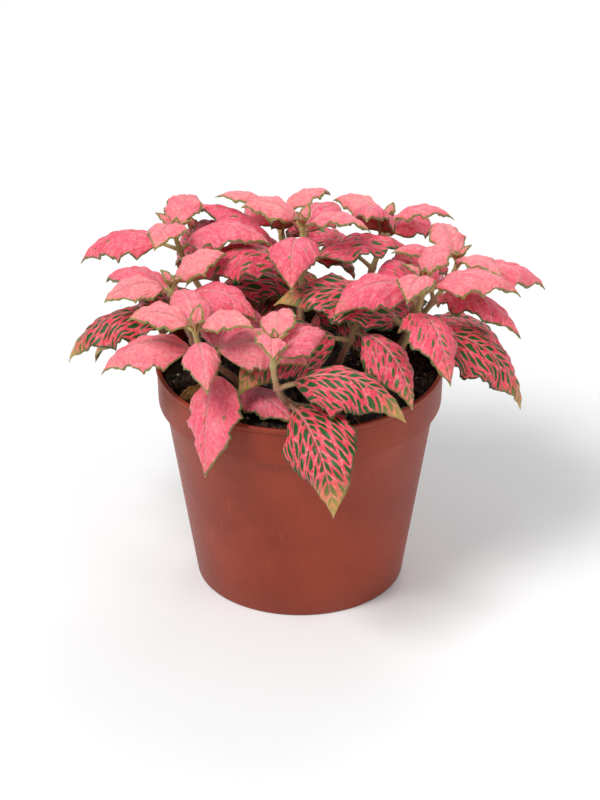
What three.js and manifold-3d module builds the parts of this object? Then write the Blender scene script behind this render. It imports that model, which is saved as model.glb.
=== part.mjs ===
// A potted nerve plant: a plastic nursery pot, its potting soil and eleven leafy stems with pink-veined
// leaves. Millimetres, +Z up. The origin is the centre of the pot's foot, on the surface that it stands on.
// -Y is the front.
import * as THREE from "three";
import { mergeVertices } from "three/addons/utils/BufferGeometryUtils.js";
import Module from "manifold-3d";

const wasm = await Module();
wasm.setup();
const { Manifold, Mesh: SolidMesh } = wasm;

const DEGREE = Math.PI / 180;
const SEAT_GAP = 0.3; // between pieces that touch

// ---------------------------------------------------------------- driving dimensions

const pot = {
  height: 98,
  rimRadius: 60, // outside, at the lip
  bandHeight: 15, // the smooth band below the lip
  bandInset: 1.1, // the band's lower edge, inside the lip's radius
  lipHeight: 2,
  lipOverhang: 0.5, // the lip's bead, proud of the band
  lipRound: 0.5,
  shoulder: 2.6, // the step from the band in to the body
  footRadius: 43,
  wall: 1.3,
  footStep: 1.6, // the floor's underside stands this far clear of the surface
  footWidth: 5,
  bossRadius: 9, // the flat in the middle of the underside
  drains: 8,
  drainRadius: 3.2,
  drainCircle: 30,
  drainSides: 8,
  sides: 40,
};

const soil = {
  edgeBelowLip: 8.5,
  mound: 2.4, // the middle stands this much above the edge
  lump: 0.6,
  rings: [18, 36, 49], // radii of the rings that carry the lumps
};

const stemSize = {
  footRadius: 1.5,
  tipRadius: 1.0,
  swelling: 0.4, // share by which a joint between two leaves is thicker
  swellingReach: 2.6, // along the stem, each way from the joint
  buried: 12,
  straight: 4, // how far above the soil the stem stays straight
  sides: 6,
  holeRadius: 2,
  holeSides: 8,
};

const leafSize = {
  widthShare: 0.58, // width over length
  petioleShare: 0.15,
  petioleHalfWidth: 0.9,
  petioleThickness: 1.5,
  tipHalfWidth: 0.3,
  ribThickness: 0.85,
  edgeThickness: 0.7,
  roundness: 0.75, // the outline's power at the base
  taper: 1.25, // and at the tip
  tooth: 0.07, // share by which the teeth widen and narrow the outline
  waves: 3.5, // up and down along one edge
  waveShare: 0.13, // a wave's height over the half width
  lateBend: 1.1, // above 1 a leaf bends more near its tip
  follow: 0.45, // how far a leaf leans over with its stem, from 0 to 1
};

// A leaf pair's age sets where it grows, from the bare foot of the stem at 0 to its tip at 1, how long its
// blades are, how they rise at the base and fall at the tip, and how far the two halves fold up at the rib
// and curl down again at the edges.
const ages = [
  { at: 0.3, length: 54, rise: 20, fall: -76, fold: 4, curl: 30 },
  { at: 0.56, length: 49, rise: 32, fall: -62, fold: 8, curl: 42 },
  { at: 0.8, length: 42, rise: 38, fall: -60, fold: 12, curl: 46 },
  { at: 0.97, length: 28, rise: 46, fall: -46, fold: 24, curl: 44 },
];

// Each stem: its name, where it leaves the soil, the way it leans, its leans from upright at foot, middle
// and tip, its length, the share of it that is bare, the size of the leaves of each pair, oldest pair
// first, the way that the first leaf of each pair points, and the pairs that have lost their second leaf.
// That leaf points the opposite way. Angles are from +X, turning left.
const stems = [
  ["front_left", [-23, -16], 234, [32, 76, 4], 56, 0.3, [0.9, 0.9, 0.85, 0.9], [264, 348, 98, 166], []],
  ["front", [5, -28], 242, [64, 54, -20], 62, 0.16, [1.02, 1.2, 0.7, 0.9], [292, 352, 62, 262], [0, 1, 2]],
  ["front_right", [14, -6], 305, [18, 44, 12], 44, 0.45, [0.95, 0.95, 0.95, 0.95], [200, 311, 55, 290], []],
  ["right", [36, -9], 340, [16, 30, 4], 55, 0.34, [1.05, 0.9, 0.95, 0.95], [350, 285, 4, 75], []],
  ["middle", [0, 8], 80, [4, 10, 2], 62, 0.3, [1, 1, 1, 1], [310, 352, 255, 340], [0]],
  ["left_back", [-28, 20], 156, [22, 52, 10], 58, 0.2, [1, 1, 1, 1], [170, 262, 166, 255], []],
  ["left", [-42, 3], 215, [6, 30, 20], 46, 0.05, [0.8, 1.12, 0.9, 1], [100, 194, 120, 210], [0]],
  ["right_back", [38, 12], 18, [26, 60, 20], 52, 0.1, [1, 1, 1, 1], [20, 105, 15, 110], []],
  ["back_right", [20, 28], 56, [24, 60, 22], 54, 0.1, [1, 1, 1, 1], [52, 140, 60, 150], []],
  ["back", [-4, 34], 98, [26, 64, 24], 52, 0.1, [1, 1, 1, 1], [95, 10, 100, 20], []],
  ["back_left", [-26, 36], 130, [26, 62, 26], 46, 0, [1, 1, 1, 1], [128, 50, 140, 40], []],
].map(([name, foot, heading, leans, length, bare, sizes, pairs, lone]) => {
  return { name, foot, heading, leans, length, bare, sizes, pairs, lone };
});

// It lies on the soil, with its curled edges a little below the surface of the mound.
const witheredLeaf = { foot: [-34, -14], heading: 206, rise: 20, fall: -40, length: 18, fold: 24, curl: 75 };
const witheredSink = 0.2;

// How a leaf is bent clear of what stands in its way, least first.
const clearance = {
  leaves: 2.3, // between points sampled on two leaves
  stem: 2.8, // from a leaf to the middle of a stem
  pot: 1.5,
  ownStem: 9, // a leaf is free to touch its own stem this close to its joint
  sampleGap: 2.2,
  turns: [0, 10, -10, 20, -20, 32, -32],
  lifts: [0, 8, -8, 16, -16, 26, -26],
  shrinks: [1, 0.88, 0.76, 0.66],
};

const colours = {
  pot: 0xb25a41,
  soil: 0x2b211b,
  foliage: 0xe8506a,
  withered: 0xa98347,
};

// ---------------------------------------------------------------- solids

// The same numbers from 0 to 1 in every build.
function seededRandom(seed) {
  let state = seed >>> 0;
  return () => {
    state = (Math.imul(state, 1664525) + 1013904223) >>> 0;
    return state / 4294967296;
  };
}

function solidFrom(geometry) {
  const bare = geometry.clone();
  bare.deleteAttribute("normal");
  bare.deleteAttribute("uv");
  const merged = mergeVertices(bare, 1e-4);
  return new Manifold(
    new SolidMesh({
      numProp: 3,
      vertProperties: new Float32Array(merged.attributes.position.array),
      triVerts: new Uint32Array(merged.index.array),
    }),
  );
}

function geometryFrom(solid) {
  const { vertProperties, triVerts } = solid.getMesh();
  const geometry = new THREE.BufferGeometry();
  geometry.setAttribute("position", new THREE.BufferAttribute(vertProperties, 3));
  geometry.setIndex(new THREE.BufferAttribute(triVerts, 1));
  geometry.computeVertexNormals();
  return geometry;
}

function pieceFrom(name, solid, colour, roughness) {
  const material = new THREE.MeshStandardMaterial({ color: colour, roughness, metalness: 0 });
  const piece = new THREE.Mesh(geometryFrom(solid), material);
  piece.name = name;
  return piece;
}

function turned(profile, sides) {
  const points = profile.map(([radius, height]) => new THREE.Vector2(radius, height));
  return new THREE.LatheGeometry(points, sides).rotateX(Math.PI / 2);
}

// A closed solid from a list of rings, all with the same number of points, and a flat cap at each end.
function lofted(rings) {
  const count = rings[0].length;
  const positions = rings.flat().flatMap((point) => point.toArray());
  const faces = [];
  for (let r = 0; r + 1 < rings.length; r++) {
    for (let i = 0; i < count; i++) {
      const a = r * count + i;
      const b = r * count + ((i + 1) % count);
      faces.push(a, b, b + count, a, b + count, a + count);
    }
  }
  const last = (rings.length - 1) * count;
  for (let i = 1; i + 1 < count; i++) {
    faces.push(0, i + 1, i, last, last + i, last + i + 1);
  }
  const geometry = new THREE.BufferGeometry();
  geometry.setAttribute("position", new THREE.Float32BufferAttribute(positions, 3));
  geometry.setIndex(faces);
  return geometry;
}

// ---------------------------------------------------------------- pot and soil

const lipFoot = pot.height - pot.lipHeight;
const bandFoot = lipFoot - pot.bandHeight;
const bandRadius = pot.rimRadius - pot.bandInset;
const bodyRadius = bandRadius - pot.shoulder;
const floorTop = pot.footStep + pot.wall;

function makePot() {
  const { height, rimRadius, lipOverhang, lipRound, wall, footRadius, footStep, footWidth, bossRadius } = pot;
  const profile = [
    [0, 0],
    [bossRadius, 0],
    [bossRadius + footStep / 2, footStep],
    [footRadius - footWidth - footStep / 2, footStep],
    [footRadius - footWidth, 0],
    [footRadius, 0],
    [bodyRadius, bandFoot],
    [bandRadius, bandFoot],
    [rimRadius - lipOverhang, lipFoot],
    [rimRadius, lipFoot + lipRound],
    [rimRadius, height - lipRound],
    [rimRadius - lipRound, height],
    [rimRadius - wall - lipRound, height],
    [bandRadius - wall, bandFoot + wall],
    [bodyRadius - wall, bandFoot + wall],
    [footRadius - wall, floorTop],
    [0, floorTop],
  ];
  let solid = solidFrom(turned(profile, pot.sides));
  for (let i = 0; i < pot.drains; i++) {
    const angle = ((i + 0.5) * 2 * Math.PI) / pot.drains;
    const hole = new THREE.CylinderGeometry(pot.drainRadius, pot.drainRadius, 3 * floorTop, pot.drainSides);
    hole.rotateX(Math.PI / 2);
    hole.translate(pot.drainCircle * Math.cos(angle), pot.drainCircle * Math.sin(angle), 0);
    solid = solid.subtract(solidFrom(hole));
  }
  return solid;
}

const soilEdge = pot.height - soil.edgeBelowLip;
const soilRadius = bandRadius - pot.wall - SEAT_GAP;

// The height of the soil's surface: a low mound with lumps, which fade towards the pot's wall.
function soilTop(x, y) {
  const fromMiddle = Math.min(1, Math.hypot(x, y) / soilRadius);
  const lumps = Math.sin(0.11 * x + 1.3) * Math.cos(0.13 * y) + 0.5 * Math.sin(0.17 * x - 0.15 * y + 2);
  return soilEdge + soil.mound * (1 - fromMiddle ** 2) + soil.lump * lumps * (1 - fromMiddle ** 4);
}

function makeSoil(shoots) {
  const shelf = bandFoot + pot.wall + SEAT_GAP;
  const floor = floorTop + SEAT_GAP;
  const profile = [
    [0, floor],
    [pot.footRadius - pot.wall - SEAT_GAP, floor],
    [bodyRadius - pot.wall - SEAT_GAP, shelf],
    [soilRadius, shelf],
    [soilRadius, soilEdge],
    ...soil.rings.toReversed().map((radius) => [radius, soilEdge]),
    [0, soilEdge],
  ];
  const geometry = turned(profile, pot.sides);
  const position = geometry.attributes.position;
  for (let i = 0; i < position.count; i++) {
    if (position.getZ(i) > shelf + 1) {
      position.setZ(i, soilTop(position.getX(i), position.getY(i)));
    }
  }
  const { straight, buried, holeRadius, holeSides } = stemSize;
  const bottom = buried + SEAT_GAP;
  const depth = bottom + straight;
  const up = new THREE.Vector3(0, 0, 1);
  let solid = solidFrom(geometry);
  for (const shoot of shoots) {
    const hole = new THREE.CylinderGeometry(holeRadius, holeRadius, depth, holeSides);
    hole.rotateX(Math.PI / 2);
    hole.translate(0, 0, depth / 2 - bottom);
    hole.applyQuaternion(new THREE.Quaternion().setFromUnitVectors(up, shoot.tangent(0)));
    hole.translate(...shoot.root.toArray());
    solid = solid.subtract(solidFrom(hole));
  }
  return solid;
}

// ---------------------------------------------------------------- stems

// The unit vector that leans from upright by the first angle, towards the second one.
function leaning(lean, heading) {
  return new THREE.Vector3(
    Math.sin(lean * DEGREE) * Math.cos(heading * DEGREE),
    Math.sin(lean * DEGREE) * Math.sin(heading * DEGREE),
    Math.cos(lean * DEGREE),
  );
}

// A stem's middle line, point by point from where it leaves the soil, a millimetre apart.
function growShoot(stem) {
  const { name, heading, length, sizes, pairs, lone } = stem;
  const [footLean, middleLean, tipLean] = stem.leans;
  const leanAt = (along) => {
    const t = Math.max(0, (along - stemSize.straight) / (length - stemSize.straight));
    return (1 - t) ** 2 * footLean + 2 * t * (1 - t) * middleLean + t ** 2 * tipLean;
  };
  const tangent = (along) => leaning(leanAt(along), heading);
  const root = new THREE.Vector3(...stem.foot, soilTop(...stem.foot));
  const line = [root];
  for (let along = 1; along <= length; along++) {
    line.push(line.at(-1).clone().add(tangent(along - 0.5)));
  }
  const pointAt = (along) => {
    if (along <= 0) return root.clone().addScaledVector(tangent(0), along);
    const before = Math.min(length - 1, Math.floor(along));
    return line[before].clone().lerp(line[before + 1], along - before);
  };
  const joints = ages.map(({ at }) => (stem.bare + (1 - stem.bare) * at) * length);
  return { name, heading, length, sizes, pairs, lone, root, leanAt, tangent, line, pointAt, joints };
}

function stemRadius(shoot, along) {
  const { footRadius, tipRadius, swelling, swellingReach } = stemSize;
  const plain = footRadius + (tipRadius - footRadius) * Math.max(0, along / shoot.length);
  const swollen = shoot.joints.some((joint) => Math.abs(along - joint) < swellingReach / 2);
  return swollen ? plain * (1 + swelling) : plain;
}

function makeStem(shoot) {
  const stops = [-stemSize.buried, 0];
  for (const joint of shoot.joints) {
    stops.push(joint - stemSize.swellingReach, joint, Math.min(joint + stemSize.swellingReach, shoot.length));
  }
  const side = leaning(90, shoot.heading + 90);
  const rings = stops.map((along) => {
    const centre = shoot.pointAt(along);
    const front = side.clone().cross(shoot.tangent(along));
    const radius = stemRadius(shoot, along);
    return Array.from({ length: stemSize.sides }, (_, i) => {
      const angle = (i * 2 * Math.PI) / stemSize.sides;
      const outwards = front.clone().multiplyScalar(Math.cos(angle)).addScaledVector(side, Math.sin(angle));
      return centre.clone().addScaledVector(outwards, radius);
    });
  });
  return solidFrom(lofted(rings));
}

// ---------------------------------------------------------------- leaves

const SPINE_STEPS = 24;

// A leaf's midrib: the petiole's foot, then the blade from base to tip in equal steps. Each has a point,
// the way across the blade and the way up from it.
function spineOf(leaf) {
  const stationAt = (u, point) => {
    const heading = leaf.heading + leaf.sway * u;
    const pitch = leaf.rise + (leaf.fall - leaf.rise) * u ** leafSize.lateBend;
    const roll = (leaf.roll + leaf.twist * u) * DEGREE;
    const along = leaning(90 - pitch, heading);
    const level = leaning(90, heading + 90);
    const upright = along.clone().cross(level);
    const across = level.multiplyScalar(Math.cos(roll)).addScaledVector(upright, Math.sin(roll));
    return { point, along, across, up: along.clone().cross(across) };
  };
  const step = leaf.length / SPINE_STEPS;
  const spine = [stationAt(0, leaf.root)];
  let point = leaf.root.clone().addScaledVector(spine[0].along, leafSize.petioleShare * leaf.length);
  for (let i = 0; i <= SPINE_STEPS; i++) {
    spine.push(stationAt(i / SPINE_STEPS, point));
    const halfway = stationAt((i + 0.5) / SPINE_STEPS, point);
    point = point.clone().addScaledVector(halfway.along, step);
  }
  return spine;
}

// Half the blade's width at u, from 0 at its base to 1 at its tip.
function halfWidth(leaf, u) {
  const { roundness, taper, widthShare } = leafSize;
  const widest = roundness / (roundness + taper);
  return 0.5 * widthShare * leaf.length * (u / widest) ** roundness * ((1 - u) / (1 - widest)) ** taper;
}

// A point of the blade's middle surface: v is -1 at one edge, 0 at the rib and 1 at the other edge.
function bladePoint(leaf, station, u, v, half) {
  const reach = Math.abs(v) * half;
  const slope = (leaf.fold - leaf.curl * Math.abs(v)) * DEGREE;
  const phase = leaf.wave + (v < 0 ? 2.2 : 0);
  const wave = leafSize.waveShare * half * v * v * Math.sin(2 * Math.PI * leafSize.waves * u + phase);
  return station.point
    .clone()
    .addScaledVector(station.across, Math.sign(v) * reach * Math.cos(slope))
    .addScaledVector(station.up, reach * Math.sin(slope) + wave);
}

// The columns of points across a leaf's solid, and the steps of its midrib that carry a row: fewer on a
// small leaf.
function gridOf(leaf) {
  if (leaf.length > 44) return { columns: [-1, -0.52, 0, 0.52, 1], steps: [0, 3, 7, 11, 15, 19, 24] };
  if (leaf.length > 30) return { columns: [-1, -0.52, 0, 0.52, 1], steps: [0, 4, 9, 14, 19, 24] };
  return { columns: [-1, 0, 1], steps: [0, 4, 9, 15, 24] };
}

// A thin closed blade: its two faces have the same points and are split into triangles alike.
function makeLeaf(leaf) {
  const { petioleHalfWidth, petioleThickness, tipHalfWidth, ribThickness, edgeThickness, tooth } = leafSize;
  const spine = spineOf(leaf);
  const { columns, steps } = gridOf(leaf);
  const petiole = { half: petioleHalfWidth, ribThick: petioleThickness, edgeThick: petioleThickness / 2 };
  const rows = [{ station: spine[0], u: 0, ...petiole }, { station: spine[1], u: 0, ...petiole }];
  steps.slice(1).forEach((step, i) => {
    const u = step / SPINE_STEPS;
    const half = Math.max(tipHalfWidth, halfWidth(leaf, u) * (1 + (i % 2 ? -tooth : tooth)));
    rows.push({ station: spine[step + 1], u, half, ribThick: ribThickness, edgeThick: edgeThickness });
  });
  const top = [];
  const bottom = [];
  for (const { station, u, half, ribThick, edgeThick } of rows) {
    for (const v of columns) {
      const middle = bladePoint(leaf, station, u, v, half);
      const thick = ribThick + (edgeThick - ribThick) * v * v;
      top.push(middle.clone().addScaledVector(station.up, thick / 2));
      bottom.push(middle.clone().addScaledVector(station.up, -thick / 2));
    }
  }
  const across = columns.length;
  const under = top.length;
  const last = under - across;
  const faces = [];
  const quad = (a, b, c, d) => faces.push(a, b, c, a, c, d);
  for (let row = 0; row < last; row += across) {
    for (let i = row; i < row + across - 1; i++) {
      quad(i, i + across, i + across + 1, i + 1);
      quad(under + i + across + 1, under + i + across, under + i, under + i + 1);
    }
    const end = row + across - 1;
    quad(row, under + row, under + row + across, row + across);
    quad(end, end + across, under + end + across, under + end);
  }
  for (let i = 0; i < across - 1; i++) {
    quad(i, i + 1, under + i + 1, under + i);
    quad(last + i, under + last + i, under + last + i + 1, last + i + 1);
  }
  const geometry = new THREE.BufferGeometry();
  const positions = [...top, ...bottom].flatMap((point) => point.toArray());
  geometry.setAttribute("position", new THREE.Float32BufferAttribute(positions, 3));
  geometry.setIndex(faces);
  return solidFrom(geometry);
}

// ---------------------------------------------------------------- leaves kept clear of each other

// Points spread over a leaf, and the ball that holds them.
function samplesOf(leaf) {
  const spine = spineOf(leaf);
  const samples = [spine[0].point.clone().lerp(spine[1].point, 0.5)];
  for (let step = 0; step <= SPINE_STEPS; step++) {
    const u = step / SPINE_STEPS;
    const half = halfWidth(leaf, u) * (1 + leafSize.tooth);
    const columns = Math.max(1, Math.ceil(half / clearance.sampleGap));
    for (let i = -columns; i <= columns; i++) {
      samples.push(bladePoint(leaf, spine[step + 1], u, i / columns, half));
    }
  }
  const centre = spine[SPINE_STEPS / 2].point;
  const radius = Math.max(...samples.map((point) => point.distanceTo(centre)));
  return { leaf, samples, centre, radius };
}

// How far a point is from the pot and the soil: below 0 where it is inside them.
function distanceToPot({ x, y, z }) {
  const radius = Math.hypot(x, y);
  const bodyHere = pot.footRadius + ((bodyRadius - pot.footRadius) * z) / bandFoot;
  const beside = radius - (z > bandFoot ? pot.rimRadius : bodyHere);
  const above = radius < soilRadius - clearance.pot ? z - soilTop(x, y) : z - pot.height;
  return Math.max(beside, above);
}

function isClear(candidate, shoots, grown) {
  const { leaf, samples, centre, radius } = candidate;
  if (samples.some((point) => distanceToPot(point) < clearance.pot)) return false;
  const away = samples.filter((point) => point.distanceTo(leaf.root) > clearance.ownStem);
  for (const shoot of shoots) {
    const mine = shoot.name === leaf.stem ? away : samples;
    const near = shoot.line.filter((there) => there.distanceTo(centre) < radius + clearance.stem);
    if (near.some((there) => mine.some((point) => there.distanceTo(point) < clearance.stem))) return false;
  }
  for (const other of grown) {
    if (other.leaf.joint === leaf.joint) continue;
    if (other.centre.distanceTo(centre) > other.radius + radius + clearance.leaves) continue;
    const mine = other.leaf.stem === leaf.stem ? away : samples;
    const near = other.samples.filter((there) => there.distanceTo(centre) < radius + clearance.leaves);
    if (near.some((there) => mine.some((point) => there.distanceTo(point) < clearance.leaves))) return false;
  }
  return true;
}

// Tries a leaf as it wants to grow, then turned and lifted step by step, then smaller.
function bentClear(wanted, shoots, grown) {
  for (const shrink of clearance.shrinks) {
    for (const lift of clearance.lifts) {
      for (const turn of clearance.turns) {
        const candidate = samplesOf({
          ...wanted,
          heading: wanted.heading + turn,
          rise: wanted.rise + lift,
          fall: wanted.fall + lift,
          length: wanted.length * shrink,
        });
        if (isClear(candidate, shoots, grown)) return candidate;
      }
    }
  }
  return null;
}

// Grows every stem's leaves, the oldest pairs first. A leaf that finds no room is left out, and so is a
// lost one.
function growLeaves(shoots, fallen) {
  const grown = [fallen];
  const random = seededRandom(20);
  const spread = (most) => (2 * random() - 1) * most;
  ages.forEach((age, level) => {
    for (const shoot of shoots) {
      for (const turn of [0, 180]) {
        const heading = shoot.pairs[level] + turn + spread(5);
        const lean = leafSize.follow * shoot.leanAt(shoot.joints[level]);
        const outward = (heading - shoot.heading) * DEGREE;
        const wanted = {
          stem: shoot.name,
          joint: shoot.name + level,
          root: shoot.pointAt(shoot.joints[level]),
          heading,
          rise: age.rise - lean * Math.cos(outward) + spread(6),
          fall: age.fall - lean * Math.cos(outward) + spread(8),
          length: age.length * shoot.sizes[level] * (1 + spread(0.08)),
          fold: age.fold + spread(5),
          curl: age.curl + spread(6),
          roll: lean * Math.sin(outward) + spread(12),
          twist: spread(22),
          sway: spread(16),
          wave: spread(Math.PI),
        };
        const lost = turn === 180 && shoot.lone.includes(level);
        const found = lost ? null : bentClear(wanted, shoots, grown);
        if (found) grown.push(found);
      }
    }
  });
  return grown;
}

// The withered leaf has dropped and lies on the soil.
function dropWitheredLeaf() {
  const { foot, ...shape } = witheredLeaf;
  const leaf = { ...shape, root: new THREE.Vector3(...foot, 0), roll: 8, twist: -30, sway: 10, wave: 1 };
  const lowest = Math.min(...samplesOf(leaf).samples.map(({ x, y, z }) => z - soilTop(x, y)));
  leaf.root.z = -witheredSink - lowest;
  return samplesOf(leaf);
}

// ---------------------------------------------------------------- the plant

const group = new THREE.Group();
const shoots = stems.map(growShoot);
group.add(pieceFrom("pot", makePot(), colours.pot, 0.55));
group.add(pieceFrom("soil", makeSoil(shoots), colours.soil, 0.95));

const fallen = dropWitheredLeaf();
group.add(pieceFrom("withered_leaf", makeLeaf(fallen.leaf), colours.withered, 0.8));

const grown = growLeaves(shoots, fallen);
for (const shoot of shoots) {
  const leaves = grown.filter(({ leaf }) => leaf.stem === shoot.name).map(({ leaf }) => makeLeaf(leaf));
  const solid = Manifold.union([makeStem(shoot), ...leaves]);
  group.add(pieceFrom("leafy_stem_" + shoot.name, solid, colours.foliage, 0.6));
}

export default group;
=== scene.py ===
# %% [markdown]
# # A potted nerve plant
#
# This lesson builds a young nerve plant in its plastic nursery pot. The plant has eleven leafy stems that
# stand in dark potting soil. Its leaves grow in opposite pairs: the old ones at the bottom are dark green
# islands in a net of pink veins, and the young ones at the top are plain salmon pink.
#
# The plain solids of the object are already made and stand in the scene as a fixed frame. Every piece that
# is modelled here takes the place of one of them, at the same size and in the same place.

import math

import bmesh
import bpy
import numpy as np
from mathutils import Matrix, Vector, noise


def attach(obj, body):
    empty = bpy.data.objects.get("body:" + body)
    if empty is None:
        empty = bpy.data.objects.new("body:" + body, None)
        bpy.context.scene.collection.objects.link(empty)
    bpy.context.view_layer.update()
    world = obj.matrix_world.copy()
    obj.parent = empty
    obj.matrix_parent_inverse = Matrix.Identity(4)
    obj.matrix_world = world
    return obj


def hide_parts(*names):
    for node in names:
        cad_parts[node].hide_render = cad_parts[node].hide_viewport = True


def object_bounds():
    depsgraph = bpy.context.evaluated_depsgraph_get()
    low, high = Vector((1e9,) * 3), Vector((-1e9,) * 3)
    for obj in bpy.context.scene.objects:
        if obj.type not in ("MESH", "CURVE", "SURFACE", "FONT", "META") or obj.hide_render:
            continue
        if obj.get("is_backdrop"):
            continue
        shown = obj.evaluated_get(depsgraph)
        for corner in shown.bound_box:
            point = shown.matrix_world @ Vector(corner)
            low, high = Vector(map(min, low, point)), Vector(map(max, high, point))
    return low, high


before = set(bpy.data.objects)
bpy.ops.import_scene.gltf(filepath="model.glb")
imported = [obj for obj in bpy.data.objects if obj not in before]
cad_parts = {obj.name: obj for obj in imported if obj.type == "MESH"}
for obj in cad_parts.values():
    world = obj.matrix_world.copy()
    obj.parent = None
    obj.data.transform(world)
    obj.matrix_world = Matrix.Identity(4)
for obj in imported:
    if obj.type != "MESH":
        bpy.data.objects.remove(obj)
SOLID_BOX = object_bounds()
print("solid pieces:", ", ".join(sorted(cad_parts)))

# %% [markdown]
# ## Sizes
#
# A grower's pot of this kind is 120 mm across at its lip and 98 mm tall. The numbers below are the pot's
# and the soil's own sizes in millimetres, the same that the solids were made from, so that the fine pieces
# cover them exactly. Blender works in metres, so each piece is scaled by MM when it is made.

# %% Sizes of pot and soil
MM = 0.001

POT_HEIGHT = 98
RIM_RADIUS = 60
LIP_HEIGHT = 2
LIP_OVERHANG = 0.5
BAND_HEIGHT = 15
BAND_INSET = 1.1
SHOULDER = 2.6
FOOT_RADIUS = 43
FOOT_WIDTH = 5
FOOT_STEP = 1.6
BOSS_RADIUS = 9
WALL = 1.3
DRAINS = 8
DRAIN_RADIUS = 3.2
DRAIN_CIRCLE = 30
SEAT_GAP = 0.3

LIP_FOOT = POT_HEIGHT - LIP_HEIGHT
BAND_FOOT = LIP_FOOT - BAND_HEIGHT
BAND_RADIUS = RIM_RADIUS - BAND_INSET
BODY_RADIUS = BAND_RADIUS - SHOULDER
FLOOR_TOP = FOOT_STEP + WALL

SOIL_EDGE = POT_HEIGHT - 8.5
SOIL_MOUND = 2.4
SOIL_LUMP = 0.6
SOIL_RADIUS = BAND_RADIUS - WALL - SEAT_GAP


def soil_top(x, y):
    """The height of the soil's surface: a low mound with lumps, which fade towards the pot's wall."""
    from_middle = min(1, math.hypot(x, y) / SOIL_RADIUS)
    lumps = math.sin(0.11 * x + 1.3) * math.cos(0.13 * y) + 0.5 * math.sin(0.17 * x - 0.15 * y + 2)
    mound = SOIL_MOUND * (1 - from_middle**2)
    return SOIL_EDGE + mound + SOIL_LUMP * lumps * (1 - from_middle**4)


print(f"the band's foot is {BAND_FOOT} mm up, and the soil's middle {soil_top(0, 0):.1f} mm")

# %% [markdown]
# ## A few habits of the hand
#
# Operators work on whatever is selected, so each step below first deselects everything. These helpers pick
# one object, pick vertices by a test on their place, and close off a finished piece: its normals face out,
# its modifiers are applied, it is shaded, and it rides on the one body that this object has.


# %% Helpers for modelling
def take(*objects):
    """Selects only these objects, and makes the first one active."""
    bpy.ops.object.select_all(action="DESELECT")
    for each in objects:
        each.select_set(True)
    bpy.context.view_layer.objects.active = objects[0]
    return objects[0]


def pick(obj, test):
    """In edit mode: selects only the vertices whose place passes the test."""
    bpy.ops.mesh.select_all(action="DESELECT")
    mesh = bmesh.from_edit_mesh(obj.data)
    for vertex in mesh.verts:
        vertex.select = bool(test(vertex.co))
    mesh.select_flush_mode()
    bmesh.update_edit_mesh(obj.data)


def face_out(obj):
    """Merges doubles and turns all faces outwards."""
    take(obj)
    bpy.ops.object.mode_set(mode="EDIT")
    bpy.ops.mesh.select_all(action="SELECT")
    bpy.ops.mesh.remove_doubles(threshold=1e-6)
    bpy.ops.mesh.normals_make_consistent(inside=False)
    bpy.ops.object.mode_set(mode="OBJECT")


def extrude_edge(shift):
    """In edit mode: pulls new faces out of the picked edge, along a shift in metres."""
    bpy.ops.mesh.extrude_edges_move(TRANSFORM_OT_translate={"value": shift})


def apply_all(obj):
    """Applies the object's modifiers from top to bottom."""
    take(obj)
    for modifier in list(obj.modifiers):
        bpy.ops.object.modifier_apply(modifier=modifier.name)


def smooth(obj, degrees):
    """Shades smooth, but keeps edges crisp where the surface turns by more than this angle."""
    take(obj)
    bpy.ops.object.shade_smooth_by_angle(angle=math.radians(degrees))


def into_scene(name, data):
    """Stands a mesh, curve, light or camera in the scene as a new object."""
    obj = bpy.data.objects.new(name, data)
    bpy.context.scene.collection.objects.link(obj)
    return obj


def places(obj):
    """The places of a mesh's vertices, one row each."""
    found = np.empty(len(obj.data.vertices) * 3)
    obj.data.vertices.foreach_get("co", found)
    return found.reshape(-1, 3)


def settle(piece, slot, *nodes):
    """Puts a finished piece on the body and, where it stands for solids, in their place."""
    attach(piece, "root")
    if nodes:
        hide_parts(*nodes)
    triangles = sum(len(face.vertices) - 2 for face in piece.data.polygons)
    print(f"{piece.name}: {triangles} triangles")


# %% [markdown]
# ## Colours and shared effects
#
# Colours are written as they look on a screen, from 0 to 255, and turned into the linear values that
# shaders take. Two effects return in several finishes, so each is a node group with named sockets: one
# makes blotches of two sizes, and the other is the drawing of a nerve plant's leaf.


# %% Helpers for materials
def screen(red, green, blue):
    """A colour as seen on a screen, as the linear colour that a shader takes."""
    linear = []
    for level in (red / 255, green / 255, blue / 255):
        linear.append(level / 12.92 if level <= 0.04045 else ((level + 0.055) / 1.055) ** 2.4)
    return (*linear, 1)


def add(tree, kind, inputs=None, **settings):
    """Adds a node. An input is a value, or an output socket to link from."""
    node = tree.nodes.new(kind)
    for name, value in settings.items():
        setattr(node, name, value)
    for name, value in (inputs or {}).items():
        if isinstance(value, bpy.types.NodeSocket):
            tree.links.new(value, node.inputs[name])
        else:
            node.inputs[name].default_value = value
    return node


def own_place(tree):
    """The place of a point in its piece's own coordinates, in metres."""
    return add(tree, "ShaderNodeTexCoord").outputs["Object"]


def maths(tree, operation, a, b=0.0, c=0.0):
    """One sum on plain numbers."""
    return add(tree, "ShaderNodeMath", {0: a, 1: b, 2: c}, operation=operation).outputs[0]


def vector_maths(tree, operation, a, b):
    """One sum on rows of three numbers."""
    return add(tree, "ShaderNodeVectorMath", {0: a, 1: b}, operation=operation).outputs[0]


def ramp_between(tree, value, low, high, start=0.0, end=1.0):
    """A smooth step: start below low, end above high."""
    inputs = {"Value": value, "From Min": low, "From Max": high, "To Min": start, "To Max": end}
    return add(tree, "ShaderNodeMapRange", inputs, interpolation_type="SMOOTHSTEP").outputs["Result"]


def blend_colours(tree, share, a, b):
    """A mix of two colours: only the first where the share is 0, only the second where it is 1."""
    return add(tree, "ShaderNodeMix", {0: share, 6: a, 7: b}, data_type="RGBA").outputs[2]


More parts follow.
